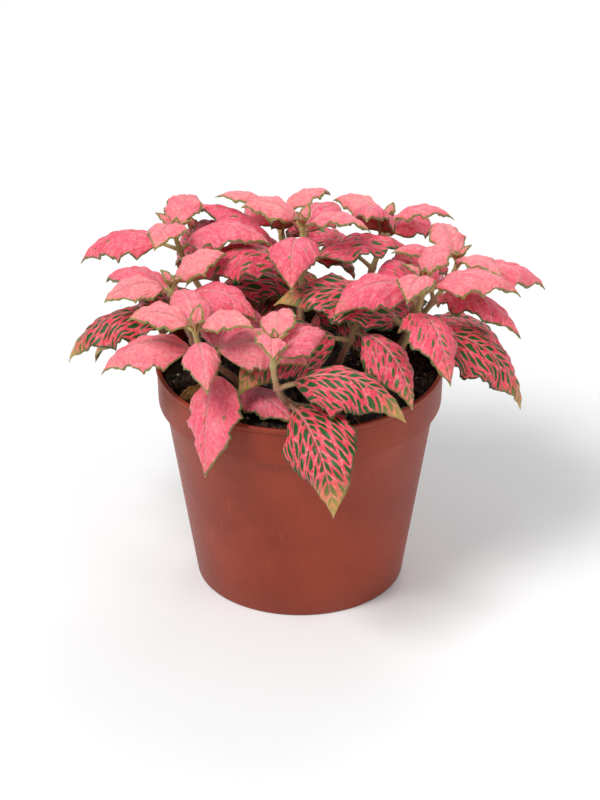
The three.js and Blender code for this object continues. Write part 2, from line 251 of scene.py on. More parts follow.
def tint(tree, tone, colour, mask, most):
    """Lays a colour over the tone where the mask says so, and nowhere by more than a share."""
    return blend_colours(tree, maths(tree, "MULTIPLY", mask, most), tone, colour)


def new_material(name, **values):
    """A material with its Principled shader, on whose sockets the plain values are set."""
    material = bpy.data.materials.new(name)
    material.use_nodes = True
    shader = material.node_tree.nodes["Principled BSDF"]
    for socket, value in values.items():
        shader.inputs[socket.replace("_", " ")].default_value = value
    return material, material.node_tree, shader


def dress(tree, shader, tone, roughness=None, relief=None, strength=1.0, depth=0.0):
    """Links a finish to its shader: its tone, its roughness, and a bump from a relief of a depth in mm."""
    tree.links.new(tone, shader.inputs["Base Color"])
    if roughness is not None:
        tree.links.new(roughness, shader.inputs["Roughness"])
    if relief is not None:
        bump = add(tree, "ShaderNodeBump", {"Strength": strength, "Distance": depth * MM, "Height": relief})
        tree.links.new(bump.outputs["Normal"], shader.inputs["Normal"])


def new_group(name, inputs, outputs):
    """An empty node group with named sockets, and its own input and output nodes."""
    tree = bpy.data.node_groups.new(name, "ShaderNodeTree")
    for label, kind in inputs.items():
        tree.interface.new_socket(label, in_out="INPUT", socket_type=kind)
    for label, kind in outputs.items():
        tree.interface.new_socket(label, in_out="OUTPUT", socket_type=kind)
    return tree, tree.nodes.new("NodeGroupInput").outputs, tree.nodes.new("NodeGroupOutput").inputs


def use_group(tree, group, inputs):
    """Places a node group in a material with values of its own."""
    return add(tree, "ShaderNodeGroup", inputs, node_tree=group).outputs


# %% [markdown]
# Blotches: almost nothing natural or moulded has one even colour. Coarse noise shifts large areas, and fine
# noise breaks them up. Both come from the piece's own coordinates, and their numbers say about how many
# blotches lie side by side in a metre.


# %% Blotches
def make_blotches():
    kinds = {"Coarse": "NodeSocketFloat", "Fine": "NodeSocketFloat"}
    tree, given, result = new_group("blotches", kinds, kinds)
    place = own_place(tree)
    for label, detail in (("Coarse", 4.0), ("Fine", 3.0)):
        inputs = {"Vector": place, "Scale": given[label], "Detail": detail, "Roughness": 0.6}
        tree.links.new(add(tree, "ShaderNodeTexNoise", inputs).outputs["Fac"], result[label])
    return tree


BLOTCHES = make_blotches()


def blotched(tree, coarse, fine):
    """Blotches of two sizes, each as a value from 0 to 1."""
    return use_group(tree, BLOTCHES, {"Coarse": coarse, "Fine": fine})


print("the group of blotches has", len(BLOTCHES.nodes), "nodes")

# %% [markdown]
# ## The pot
#
# The real pot is one thin shell of plastic, turned in shape, with small drain holes. Such a shell could be a
# spun outline. Here it starts as a small disc in the middle of the underside, and its outer edge is extruded
# and scaled again and again: out along the underside, up the outside, over the lip, and down the inside.
# That is how one would pull it up by hand, and it leaves even rings. Every corner of the outline is rounded
# with a short arc first, because moulded plastic has no sharp edges.


# %% Turning a shape by extruding its edge
def rounded(corners, steps=4):
    """An outline of radius and height. Each corner has its own rounding, which becomes a short arc."""
    outline = []
    for i, (radius, height, rounding) in enumerate(corners):
        here = Vector((radius, height))
        if not rounding:
            outline.append(here)
            continue
        back = (Vector(corners[i - 1][:2]) - here).normalized() * rounding
        ahead = (Vector(corners[i + 1][:2]) - here).normalized() * rounding
        for step in range(steps + 1):
            t = step / steps
            outline.append(here + back * (1 - t) ** 2 + ahead * t**2)
    return outline


def pull_up(name, outline, sides):
    """Starts with a disc and extrudes its edge along the outline, which ends on the axis."""
    radius, height = outline[0]
    place = (0, 0, height * MM)
    bpy.ops.mesh.primitive_circle_add(vertices=sides, radius=radius * MM, fill_type="TRIFAN", location=place)
    obj = bpy.context.object
    obj.name = name
    bpy.ops.object.transform_apply(location=True)
    bpy.ops.object.mode_set(mode="EDIT")
    pick(obj, lambda co: co.xy.length > radius * MM / 2)
    for next_radius, next_height in outline[1:-1]:
        extrude_edge((0, 0, (next_height - height) * MM))
        wider = next_radius / radius
        bpy.ops.transform.resize(value=(wider, wider, 1), center_override=(0, 0, next_height * MM))
        radius, height = next_radius, next_height
    extrude_edge((0, 0, (outline[-1][1] - height) * MM))
    bpy.ops.mesh.merge(type="CENTER")
    bpy.ops.object.mode_set(mode="OBJECT")
    face_out(obj)
    return obj


# %% The pot's outline
POT_OUTLINE = rounded([
    (BOSS_RADIUS, 0, 0),
    (BOSS_RADIUS + FOOT_STEP / 2, FOOT_STEP, 0.4),
    (FOOT_RADIUS - FOOT_WIDTH - FOOT_STEP / 2, FOOT_STEP, 0.4),
    (FOOT_RADIUS - FOOT_WIDTH, 0, 0.5),
    (FOOT_RADIUS, 0, 1.1),
    (BODY_RADIUS, BAND_FOOT, 0.5),
    (BAND_RADIUS, BAND_FOOT, 0.6),
    (RIM_RADIUS - LIP_OVERHANG - 0.12, LIP_FOOT - 1.2, 0.3),
    (RIM_RADIUS - LIP_OVERHANG - 0.28, LIP_FOOT - 0.5, 0.3),
    (RIM_RADIUS, LIP_FOOT + 0.1, 0.35),
    (RIM_RADIUS, POT_HEIGHT, 0.7),
    (RIM_RADIUS - WALL - 0.5, POT_HEIGHT, 0.6),
    (BAND_RADIUS - WALL, BAND_FOOT + WALL, 0.4),
    (BODY_RADIUS - WALL, BAND_FOOT + WALL, 0.4),
    (FOOT_RADIUS - WALL, FLOOR_TOP, 0.8),
    (0, FLOOR_TOP, 0),
])
POT_SIDES = 144
pot = pull_up("nursery_pot", POT_OUTLINE, POT_SIDES)
print("the pot's outline has", len(POT_OUTLINE), "points")

# %% [markdown]
# The drain holes are drilled: eight short cylinders stand in a ring through the floor, and a Boolean
# modifier takes them away. A bevel would be lost on holes this small, so their edges stay crisp.


# %% Drain holes
DRILL_SIDES = 28


def drill_drains():
    """Takes a ring of short cylinders out of the pot's floor."""
    drills = []
    for i in range(DRAINS):
        angle = (i + 0.5) * 2 * math.pi / DRAINS
        place = Vector((math.cos(angle), math.sin(angle), 0)) * DRAIN_CIRCLE * MM
        bpy.ops.mesh.primitive_cylinder_add(vertices=DRILL_SIDES, radius=DRAIN_RADIUS * MM,
                                            depth=4 * FLOOR_TOP * MM, location=place)
        drills.append(bpy.context.object)
    take(*drills)
    bpy.ops.object.join()
    drill = bpy.context.object
    cut = pot.modifiers.new("drains", "BOOLEAN")
    cut.object = drill
    cut.solver = "EXACT"
    apply_all(pot)
    bpy.data.objects.remove(drill)


drill_drains()
smooth(pot, 35)
print("the drilled pot has", len(pot.data.polygons), "faces")

# %% [markdown]
# The pot's plastic is terracotta-coloured and matt, with a faint sheen. Close up it has a fine grain from
# the mould, slightly paler scuffs, and a veil of dust and peat near the lip, where it has been handled.


# %% Terracotta plastic
def make_pot_plastic():
    material, tree, shader = new_material("terracotta_plastic", Specular_IOR_Level=0.32)
    place = own_place(tree)
    height = add(tree, "ShaderNodeSeparateXYZ", {"Vector": place}).outputs["Z"]
    blotch = blotched(tree, 28.0, 700.0)
    share = ramp_between(tree, blotch["Coarse"], 0.35, 0.65)
    tone = blend_colours(tree, share, screen(136, 46, 22), screen(152, 56, 30))
    tone = tint(tree, tone, screen(128, 52, 34), ramp_between(tree, blotch["Fine"], 0.45, 0.72), 0.22)
    streaks = add(tree, "ShaderNodeMapping", {"Vector": place, "Scale": (1, 1, 0.12)}).outputs["Vector"]
    scuff = add(tree, "ShaderNodeTexNoise", {"Vector": streaks, "Scale": 260.0, "Detail": 5.0}).outputs["Fac"]
    tone = tint(tree, tone, screen(206, 120, 92), ramp_between(tree, scuff, 0.6, 0.78), 0.1)
    near_lip = ramp_between(tree, height, (BAND_FOOT - 8) * MM, POT_HEIGHT * MM)
    dust = maths(tree, "MULTIPLY", near_lip, ramp_between(tree, blotch["Coarse"], 0.5, 0.72))
    tone = tint(tree, tone, screen(108, 62, 46), dust, 0.35)
    tone = tint(tree, tone, screen(126, 66, 48), ramp_between(tree, height, 16 * MM, 0.0), 0.25)
    rough = maths(tree, "MULTIPLY_ADD", blotch["Fine"], 0.22, 0.36)
    rough = maths(tree, "MULTIPLY_ADD", dust, 0.2, rough)
    grain = maths(tree, "MULTIPLY_ADD", scuff, 0.6, blotch["Fine"])
    dress(tree, shader, tone, rough, grain, strength=0.25, depth=0.2)
    return material


pot.data.materials.append(make_pot_plastic())
settle(pot, "pot_plastic", "pot")

# %% [markdown]
# ## The soil
#
# Potting soil is dark, damp peat. The body of it is pulled up like the pot, from the middle of its underside
# to the middle of its top, and its top is then lifted to the mound's height with small noise. On it lie
# three kinds of loose bits: peat crumbs, tan fibres and pale grains. They are modelled with very few faces,
# the crumbs in three shapes and the others in one, and then copied hundreds of times by one helper, because
# only the heap of them is seen.


# %% The body of the soil
SOIL_SIDES = 110
SOIL_CHAMFER = 0.6
RING_STEP = 1.5
SOIL_ROUGHNESS = 0.7


def make_soil_body():
    """The soil from the middle of its underside to the middle of its rough top."""
    shelf = BAND_FOOT + WALL + SEAT_GAP
    floor = FLOOR_TOP + SEAT_GAP
    outline = [Vector(p) for p in (
        (10, floor),
        (FOOT_RADIUS - WALL - SEAT_GAP, floor),
        (BODY_RADIUS - WALL - SEAT_GAP, shelf),
        (SOIL_RADIUS, shelf),
        (SOIL_RADIUS, SOIL_EDGE - SOIL_CHAMFER),
    )]
    rings = int(SOIL_RADIUS / RING_STEP)
    outline += [Vector((SOIL_RADIUS - SOIL_CHAMFER - i * RING_STEP, SOIL_EDGE)) for i in range(rings)]
    outline.append(Vector((0, SOIL_EDGE)))
    body = pull_up("potting_soil", outline, SOIL_SIDES)
    for vertex in body.data.vertices:
        if vertex.co.z > (SOIL_EDGE - 0.1) * MM:
            x, y = vertex.co.x / MM, vertex.co.y / MM
            rough = noise.fractal(Vector((x, y, 0)) * 0.35, 0.8, 2.2, 4)
            edge = min(1, (SOIL_RADIUS - math.hypot(x, y)) / 3)
            vertex.co.z = (soil_top(x, y) + SOIL_ROUGHNESS * rough * edge) * MM
    face_out(body)
    smooth(body, 50)
    return body


soil = make_soil_body()
print(f"the soil's highest lump is {places(soil)[:, 2].max() / MM:.1f} mm up")

# %% [markdown]
# Copying many small shapes with operators would be slow, so one helper takes a model bit, turns, scales and
# places it for each place in a list, and joins all copies into a single mesh.


# %% Scattering copies of a small shape
def unit(rows):
    """Each row of three numbers as a direction of length 1."""
    return rows / np.linalg.norm(rows, axis=1)[:, None]


def turns_along(first, roughly_second):
    """A turn for each copy: its X along the first direction, its Y square to both."""
    second = unit(np.cross(first, roughly_second))
    return np.stack([first, second, np.cross(first, second)], axis=2)


def any_turns(rng, count):
    """A random turn for each copy."""
    axes = rng.normal(size=(count, 2, 3))
    return turns_along(unit(axes[:, 0]), axes[:, 1])


def copy_onto(name, model, turns, scales, spots):
    """One mesh with a copy of the model for each row: turned, scaled along its own axes, and placed."""
    shape = places(model)
    corners = [tuple(face.vertices) for face in model.data.polygons]
    copies = (shape[None] * scales[:, None, :]) @ np.transpose(turns, (0, 2, 1)) + spots[:, None, :]
    faces = [[c + i * len(shape) for c in corner] for i in range(len(spots)) for corner in corners]
    mesh = bpy.data.meshes.new(name)
    mesh.from_pydata(copies.reshape(-1, 3).tolist(), [], faces)
    bpy.data.objects.remove(model)
    return into_scene(name, mesh)


def over_soil(rng, count, keep_in):
    """Random spots spread evenly over the soil's surface, no further out than keep_in."""
    radius = keep_in * np.sqrt(rng.random(count))
    angle = rng.random(count) * 2 * math.pi
    x, y = radius * np.cos(angle), radius * np.sin(angle)
    return np.stack([x, y, [soil_top(a, b) for a, b in zip(x, y)]], axis=1)


# %% Crumbs, fibres and grains
CRUMB_SHAPES = 3
CRUMBS_OF_A_SHAPE = 1100
FIBRES = 260
GRAINS = 110


def model_crumb(seed):
    """A lump of peat: a cube with each face cut in four, its corners rounded and pushed about."""
    bpy.ops.mesh.primitive_cube_add(size=1)
    crumb = bpy.context.object
    bpy.ops.object.mode_set(mode="EDIT")
    bpy.ops.mesh.subdivide(number_cuts=1, smoothness=1)
    bpy.ops.transform.vertex_random(offset=0.16, seed=seed)
    bpy.ops.object.mode_set(mode="OBJECT")
    return crumb


def model_fibre(seed):
    """A sliver of bark or peat fibre: a thin bar, cut in three and bent."""
    bpy.ops.mesh.primitive_cube_add(size=1)
    fibre = bpy.context.object
    bpy.ops.object.mode_set(mode="EDIT")
    for cut in (-0.2, 0.2):
        bpy.ops.mesh.select_all(action="SELECT")
        bpy.ops.mesh.bisect(plane_co=(cut, 0, 0), plane_no=(1, 0, 0))
    pick(fibre, lambda co: abs(co.x) < 0.3)
    bpy.ops.transform.translate(value=(0, 0.9, 0.5))
    bpy.ops.mesh.select_all(action="SELECT")
    bpy.ops.transform.vertex_random(offset=0.12, seed=seed)
    bpy.ops.object.mode_set(mode="OBJECT")
    return fibre


def scatter_crumbs():
    """Many small crumbs and a few large ones, half sunk in the soil."""
    rng = np.random.default_rng(4)
    heaps = []
    for shape in range(CRUMB_SHAPES):
        size = 0.9 + 2.6 * rng.random(CRUMBS_OF_A_SHAPE) ** 3
        spots = over_soil(rng, CRUMBS_OF_A_SHAPE, SOIL_RADIUS - 1.6)
        spots[:, 2] += 0.12 * size + 0.5 * rng.random(CRUMBS_OF_A_SHAPE) ** 2
        scales = size[:, None] * (0.7 + 0.5 * rng.random((CRUMBS_OF_A_SHAPE, 3)))
        turns = any_turns(rng, CRUMBS_OF_A_SHAPE)
        heaps.append(copy_onto(f"crumbs_{shape}", model_crumb(shape), turns, scales * MM, spots * MM))
    take(*heaps)
    bpy.ops.object.join()
    heap = bpy.context.object
    heap.name = "peat_crumbs"
    face_out(heap)
    smooth(heap, 42)
    return heap


def scatter_fibres():
    """Slivers that lie nearly flat, most of them short."""
    rng = np.random.default_rng(5)
    spots = over_soil(rng, FIBRES, SOIL_RADIUS - 4.5)
    spots[:, 2] += 1.0 + 0.5 * rng.random(FIBRES)
    heading = rng.random(FIBRES) * 2 * math.pi
    tilt = rng.normal(size=FIBRES) * 0.25
    level = np.cos(tilt)
    along = np.stack([np.cos(heading) * level, np.sin(heading) * level, np.sin(tilt)], axis=1)
    turns = turns_along(along, rng.normal(size=(FIBRES, 3)))
    length = 1.6 + 5.0 * rng.random(FIBRES) ** 2
    thick = 0.22 + 0.3 * rng.random(FIBRES)
    scales = np.stack([length, thick * 1.4, thick], axis=1)
    return copy_onto("peat_fibres", model_fibre(7), turns, scales * MM, spots * MM)


def scatter_grains():
    """Pale grains of about one size, which lie on the crumbs."""
    rng = np.random.default_rng(6)
    spots = over_soil(rng, GRAINS, SOIL_RADIUS - 2)
    size = 0.6 + 0.7 * rng.random(GRAINS)
    spots[:, 2] += 0.9 + 0.3 * size
    scales = size[:, None] * (0.85 + 0.3 * rng.random((GRAINS, 3)))
    return copy_onto("pale_grains", model_crumb(12), any_turns(rng, GRAINS), scales * MM, spots * MM)


crumbs, fibres, grains = scatter_crumbs(), scatter_fibres(), scatter_grains()
for heap in (fibres, grains):
    face_out(heap)
print(CRUMB_SHAPES * CRUMBS_OF_A_SHAPE, "crumbs,", FIBRES, "fibres and", GRAINS, "grains lie on the soil")

# %% [markdown]
# Damp peat is nearly black, brown where it has dried, and it glistens a little. The crumbs differ from one
# another, which a noise with cells of their size gives. Fibres are straw-coloured to rust, and the grains
# are grey to cream.


# %% Soil finishes
def make_bits_finish(name, dark, light, cell, roughness):
    """A finish with a fine crumbly bump, whose tone changes from one cell, so many mm wide, to the next."""
    material, tree, shader = new_material(name, Roughness=roughness, Specular_IOR_Level=0.3)
    blotch = blotched(tree, 45.0, 1500.0)
    cells = add(tree, "ShaderNodeTexVoronoi", {"Vector": own_place(tree), "Scale": 1 / (cell * MM)})
    chance = add(tree, "ShaderNodeSeparateColor", {"Color": cells.outputs["Color"]}).outputs["Red"]
    patches = ramp_between(tree, blotch["Coarse"], 0.3, 0.7, 0.5, 1.2)
    share = maths(tree, "MULTIPLY", maths(tree, "POWER", chance, 2.0), patches)
    tone = blend_colours(tree, maths(tree, "MINIMUM", share, 1.0), dark, light)
    tone = tint(tree, tone, dark, ramp_between(tree, blotch["Fine"], 0.35, 0.7), 0.35)
    dress(tree, shader, tone, relief=blotch["Fine"], strength=0.7, depth=0.4)
    return material


PEAT = make_bits_finish("damp_peat", screen(24, 18, 14), screen(74, 54, 40), 2.4, 0.82)
STRAW = make_bits_finish("straw_fibre", screen(96, 62, 38), screen(198, 160, 112), 6.0, 0.7)
PALE = make_bits_finish("pale_grain", screen(128, 122, 110), screen(208, 202, 188), 3.0, 0.5)
for piece, finish in ((soil, PEAT), (crumbs, PEAT), (fibres, STRAW), (grains, PALE)):
    piece.data.materials.append(finish)
settle(soil, "potting_soil", "soil")
for heap in (crumbs, fibres, grains):
    settle(heap, "potting_soil")

# %% [markdown]
# ## How the plant grows
#
# A nerve plant's leaves sit in opposite pairs, each pair turned against the one below. The tables below say
# where each stem leaves the soil, how it leans, and which way its pairs point. They are the same that the
# solids were grown from, and so is the rule that follows: a leaf grows as it wants to, unless it would touch
# a neighbour, a stem or the pot. Then it is turned, lifted or shortened step by step, and if nothing helps
# it is left out. With the same random numbers, every leaf of a pair lands where its solid is. One small leaf
# has no solid: it grows by itself, low on the front left stem, and lies just inside the lip.

# %% Stems and ages
STEM_FOOT_RADIUS = 1.5
STEM_TIP_RADIUS = 1.0
SWELLING = 0.4
BURIED = 12
STRAIGHT = 4

WIDTH_SHARE = 0.58
PETIOLE_SHARE = 0.15
ROUNDNESS = 0.75
TAPER = 1.25
TOOTH = 0.07
WAVES = 3.5
WAVE_SHARE = 0.13
LATE_BEND = 1.1
FOLLOW = 0.45
SPINE_STEPS = 24

# From the oldest pair to the youngest: place on the stem, length, rise, fall, fold and curl.
AGES = [
    (0.3, 54, 20, -76, 4, 30),
    (0.56, 49, 32, -62, 8, 42),
    (0.8, 42, 38, -60, 12, 46),
    (0.97, 28, 46, -46, 24, 44),
]

# Name, foot, heading, leans, length, bare share, size of the leaves of each pair, the way that each pair
# points, and the pairs that have lost a leaf.
STEMS = [
    ("front_left", (-23, -16), 234, (32, 76, 4), 56, 0.3, (0.9, 0.9, 0.85, 0.9), (264, 348, 98, 166), ()),
    ("front", (5, -28), 242, (64, 54, -20), 62, 0.16, (1.02, 1.2, 0.7, 0.9), (292, 352, 62, 262), (0, 1, 2)),
    ("front_right", (14, -6), 305, (18, 44, 12), 44, 0.45, (0.95, 0.95, 0.95, 0.95), (200, 311, 55, 290), ()),
    ("right", (36, -9), 340, (16, 30, 4), 55, 0.34, (1.05, 0.9, 0.95, 0.95), (350, 285, 4, 75), ()),
    ("middle", (0, 8), 80, (4, 10, 2), 62, 0.3, (1, 1, 1, 1), (310, 352, 255, 340), (0,)),
    ("left_back", (-28, 20), 156, (22, 52, 10), 58, 0.2, (1, 1, 1, 1), (170, 262, 166, 255), ()),
    ("left", (-42, 3), 215, (6, 30, 20), 46, 0.05, (0.8, 1.12, 0.9, 1), (100, 194, 120, 210), (0,)),
    ("right_back", (38, 12), 18, (26, 60, 20), 52, 0.1, (1, 1, 1, 1), (20, 105, 15, 110), ()),
    ("back_right", (20, 28), 56, (24, 60, 22), 54, 0.1, (1, 1, 1, 1), (52, 140, 60, 150), ()),
    ("back", (-4, 34), 98, (26, 64, 24), 52, 0.1, (1, 1, 1, 1), (95, 10, 100, 20), ()),
    ("back_left", (-26, 36), 130, (26, 62, 26), 46, 0.0, (1, 1, 1, 1), (128, 50, 140, 40), ()),
]

# The low leaf, and how far along its stem it grows. Then the withered leaf, and where it has dropped.
LOW_LEAF = {"stem": "front_left", "joint": "front_left_low", "level": 2, "heading": 306, "rise": 8,
            "fall": -24, "length": 34, "fold": 12, "curl": 40, "roll": 0, "twist": 6, "sway": 8, "wave": 1}
LOW_LEAF_ALONG = 9
WITHERED = {"stem": "", "joint": "", "heading": 206, "rise": 20, "fall": -40, "length": 18, "fold": 24,
            "curl": 75, "roll": 8, "twist": -30, "sway": 10, "wave": 1}
WITHERED_FOOT = (-34, -14)
WITHERED_SINK = 0.2

CLEAR_OF_LEAVES = 2.3
CLEAR_OF_STEMS = 2.8
CLEAR_OF_POT = 1.5
OWN_STEM = 9
SAMPLE_GAP = 2.2
TURNS = (0, 10, -10, 20, -20, 32, -32)
LIFTS = (0, 8, -8, 16, -16, 26, -26)
SHRINKS = (1, 0.88, 0.76, 0.66)


# %% Stems as lines
def leaning(lean, heading):
    """The unit vector that leans from upright by the first angle, towards the second one."""
    lean, heading = math.radians(lean), math.radians(heading)
    return np.array([math.sin(lean) * math.cos(heading), math.sin(lean) * math.sin(heading), math.cos(lean)])


class Shoot:
    """A stem's middle line, a millimetre from point to point, with the joints that carry its pairs."""

    def __init__(self, name, foot, heading, leans, length, bare, sizes, pairs, lone):
        self.name, self.heading, self.leans, self.length = name, heading, leans, length
        self.sizes, self.pairs, self.lone = sizes, pairs, lone
        self.root = np.array([*foot, soil_top(*foot)])
        line = [self.root]
        for along in range(1, length + 1):
            line.append(line[-1] + leaning(self.lean_at(along - 0.5), heading))
        self.line = np.array(line)
        self.joints = [(bare + (1 - bare) * age[0]) * length for age in AGES]

    def lean_at(self, along):
        """How far the stem leans from upright there. The first few millimetres lean as its foot does."""
        t = max(0, (along - STRAIGHT) / (self.length - STRAIGHT))
        foot, middle, tip = self.leans
        return (1 - t) ** 2 * foot + 2 * t * (1 - t) * middle + t**2 * tip

    def point_at(self, along):
        """The point so many millimetres along the stem, also below the soil."""
        if along <= 0:
            return self.root + along * leaning(self.lean_at(0), self.heading)
        before = min(self.length - 1, math.floor(along))
        return self.line[before] + (self.line[before + 1] - self.line[before]) * (along - before)


shoots = [Shoot(*row) for row in STEMS]
print("stems reach up to", round(max(shoot.line[-1][2] for shoot in shoots)), "mm")


# %% [markdown]
# A leaf's midrib is a line that starts along the petiole and bends down bit by bit. At each of its stations
# it knows the way across the blade and the way up from it. A point of the blade is then given by two
# numbers: u runs from 0 at the base to 1 at the tip, and v from -1 at one edge to 1 at the other.


# %% Leaves as surfaces
def spine_of(leaf, steps=SPINE_STEPS):
    """Points, ways across and ways up: of the petiole's foot, then of the blade in equal steps."""

    def frames(u):
        heading = np.radians(leaf["heading"] + leaf["sway"] * u)
        pitch = np.radians(leaf["rise"] + (leaf["fall"] - leaf["rise"]) * u**LATE_BEND)
        roll = np.radians(leaf["roll"] + leaf["twist"] * u)[:, None]
        flat = np.cos(pitch)
        along = np.stack([flat * np.cos(heading), flat * np.sin(heading), np.sin(pitch)], axis=1)
        level = np.stack([-np.sin(heading), np.cos(heading), np.zeros_like(u)], axis=1)
        across = level * np.cos(roll) + np.cross(along, level) * np.sin(roll)
        return along, across, np.cross(along, across)

    u = np.arange(steps + 1) / steps
    along, across, up = frames(np.concatenate([[0.0], u]))
    halfway = frames(u[:-1] + 0.5 / steps)[0]
    base = leaf["root"] + along[0] * PETIOLE_SHARE * leaf["length"]
    blade = base + np.vstack([np.zeros(3), np.cumsum(halfway * leaf["length"] / steps, axis=0)])
    return np.vstack([leaf["root"], blade]), across, up


WIDEST = ROUNDNESS / (ROUNDNESS + TAPER)


def half_width(length, u):
    """Half the blade's width at u."""
    return 0.5 * WIDTH_SHARE * length * (u / WIDEST) ** ROUNDNESS * ((1 - u) / (1 - WIDEST)) ** TAPER


def blade_points(leaf, points, across, up, u, v, half):
    """Places of the blade's middle surface."""
    reach = np.abs(v) * half
    slope = np.radians(leaf["fold"] - leaf["curl"] * np.abs(v))
    phase = leaf["wave"] + np.where(v < 0, 2.2, 0.0)
    wave = WAVE_SHARE * half * v * v * np.sin(2 * math.pi * WAVES * u + phase)
    sideways = np.sign(v) * reach * np.cos(slope)
    return points + across * sideways[:, None] + up * (reach * np.sin(slope) + wave)[:, None]


print(f"a blade is widest at {WIDEST:.2f} of its length")

# %% [markdown]
# The rule that keeps leaves clear of each other needs many distances, so it works on rows of sample points.
# A ball round each leaf says quickly which neighbours can be skipped.


# %% Keeping leaves clear of each other
def samples_of(leaf):
    """A leaf with sample points all over its blade, and the ball round them."""
    points, across, up = spine_of(leaf)
    u = np.arange(SPINE_STEPS + 1) / SPINE_STEPS
    half = half_width(leaf["length"], u) * (1 + TOOTH)
    columns = np.maximum(1, np.ceil(half / SAMPLE_GAP)).astype(int)
    rows = np.concatenate([np.full(2 * n + 1, i) for i, n in enumerate(columns)])
    v = np.concatenate([np.arange(-n, n + 1) / n for n in columns])
    blade = blade_points(leaf, points[rows + 1], across[rows + 1], up[rows + 1], u[rows], v, half[rows])
    samples = np.vstack([(points[0] + points[1]) / 2, blade])
    centre = points[SPINE_STEPS // 2]
    radius = np.linalg.norm(samples - centre, axis=1).max()
    return {"leaf": leaf, "samples": samples, "centre": centre, "radius": radius}


def distance_to_pot(points):
    """How far points are from the pot and the soil: below 0 where they are inside them."""
    x, y, z = points.T
    radius = np.hypot(x, y)
    body_here = FOOT_RADIUS + (BODY_RADIUS - FOOT_RADIUS) * z / BAND_FOOT
    beside = radius - np.where(z > BAND_FOOT, RIM_RADIUS, body_here)
    soil_here = np.array([soil_top(a, b) for a, b in zip(x, y)])
    above = np.where(radius < SOIL_RADIUS - CLEAR_OF_POT, z - soil_here, z - POT_HEIGHT)
    return np.maximum(beside, above)


def touches(mine, others, centre, radius, gap):
    """True where any of my points is closer than the gap to any of the others'."""
    near = others[np.linalg.norm(others - centre, axis=1) < radius + gap]
    if not len(near) or not len(mine):
        return False
    apart = ((near[:, None, :] - mine[None, :, :]) ** 2).sum(axis=2)
    return bool((apart < gap * gap).any())


def is_clear(candidate, grown):
    """True where a leaf touches neither the pot nor the soil, no stem and no leaf but its own pair's."""
    leaf, samples = candidate["leaf"], candidate["samples"]
    centre, radius = candidate["centre"], candidate["radius"]
    if (distance_to_pot(samples) < CLEAR_OF_POT).any():
        return False
    away = samples[np.linalg.norm(samples - leaf["root"], axis=1) > OWN_STEM]
    for shoot in shoots:
        mine = away if shoot.name == leaf["stem"] else samples
        if touches(mine, shoot.line, centre, radius, CLEAR_OF_STEMS):
            return False
    for other in grown:
        if other["leaf"]["joint"] == leaf["joint"]:
            continue
        if np.linalg.norm(other["centre"] - centre) > other["radius"] + radius + CLEAR_OF_LEAVES:
            continue
        mine = away if other["leaf"]["stem"] == leaf["stem"] else samples
        if touches(mine, other["samples"], centre, radius, CLEAR_OF_LEAVES):
            return False
    return True


def bent_clear(wanted, grown):
    """Tries a leaf as it wants to grow, then turned and lifted step by step, then smaller."""
    for shrink in SHRINKS:
        for lift in LIFTS:
            for turn in TURNS:
                leaf = dict(wanted, heading=wanted["heading"] + turn, rise=wanted["rise"] + lift,
                            fall=wanted["fall"] + lift, length=wanted["length"] * shrink)
                candidate = samples_of(leaf)
                if is_clear(candidate, grown):
                    return candidate
    return None


# %% Growing all leaves
GROWTH_SEED = 20


def drop_withered_leaf():
    """Lowers the withered leaf until its lowest point is a little below the soil's plain surface."""
    leaf = dict(WITHERED, root=np.array([*WITHERED_FOOT, 0.0]))
    samples = samples_of(leaf)["samples"]
    lowest = min(z - soil_top(x, y) for x, y, z in samples)
    leaf["root"] = leaf["root"] + np.array([0, 0, -WITHERED_SINK - lowest])
    return samples_of(leaf)


def wished_leaves():
    """How each leaf wants to grow: all the oldest pairs first, the youngest after them, then the low leaf."""
    state = GROWTH_SEED

    def spread(most):
        nonlocal state
        state = (state * 1664525 + 1013904223) % 2**32
        return (2 * state / 2**32 - 1) * most

    for level, (_, length, rise, fall, fold, curl) in enumerate(AGES):
        for shoot in shoots:
            for turn in (0, 180):
                heading = shoot.pairs[level] + turn + spread(5)
                lean = FOLLOW * shoot.lean_at(shoot.joints[level])
                outward = math.radians(heading - shoot.heading)
                wanted = {
                    "stem": shoot.name,
                    "joint": f"{shoot.name}{level}",
                    "level": level,
                    "root": shoot.point_at(shoot.joints[level]),
                    "heading": heading,
                    "rise": rise - lean * math.cos(outward) + spread(6),
                    "fall": fall - lean * math.cos(outward) + spread(8),
                    "length": length * shoot.sizes[level] * (1 + spread(0.08)),
                    "fold": fold + spread(5),
                    "curl": curl + spread(6),
                    "roll": lean * math.sin(outward) + spread(12),
                    "twist": spread(22),
                    "sway": spread(16),
                    "wave": spread(math.pi),
                }
                lost = turn and level in shoot.lone
                if not lost:
                    yield wanted
    carrier = next(shoot for shoot in shoots if shoot.name == LOW_LEAF["stem"])
    yield dict(LOW_LEAF, root=carrier.point_at(LOW_LEAF_ALONG))


def grow_leaves(fallen):
    """Grows one leaf after another, each clear of those that are there already."""
    grown = [fallen]
    for wanted in wished_leaves():
        found = bent_clear(wanted, grown)
        if found:
            grown.append(found)
    return [found["leaf"] for found in grown[1:]]


fallen_leaf = drop_withered_leaf()
leaves = grow_leaves(fallen_leaf)
print(len(leaves), "leaves have grown, the longest", round(max(leaf["length"] for leaf in leaves)), "mm")

# %% [markdown]
# ## The blades
#
# All leaves have the same outline, so the blade is modelled once, flat and one unit long: a short edge across
# its base is extruded towards the tip row by row, and each row is scaled to the outline's width there. The
# last row closes to a point. Leaves of the youngest pairs are small, and get a coarser blade.


# %% A blade pulled out row by row
PETIOLE_HALF_WIDTH = 0.018


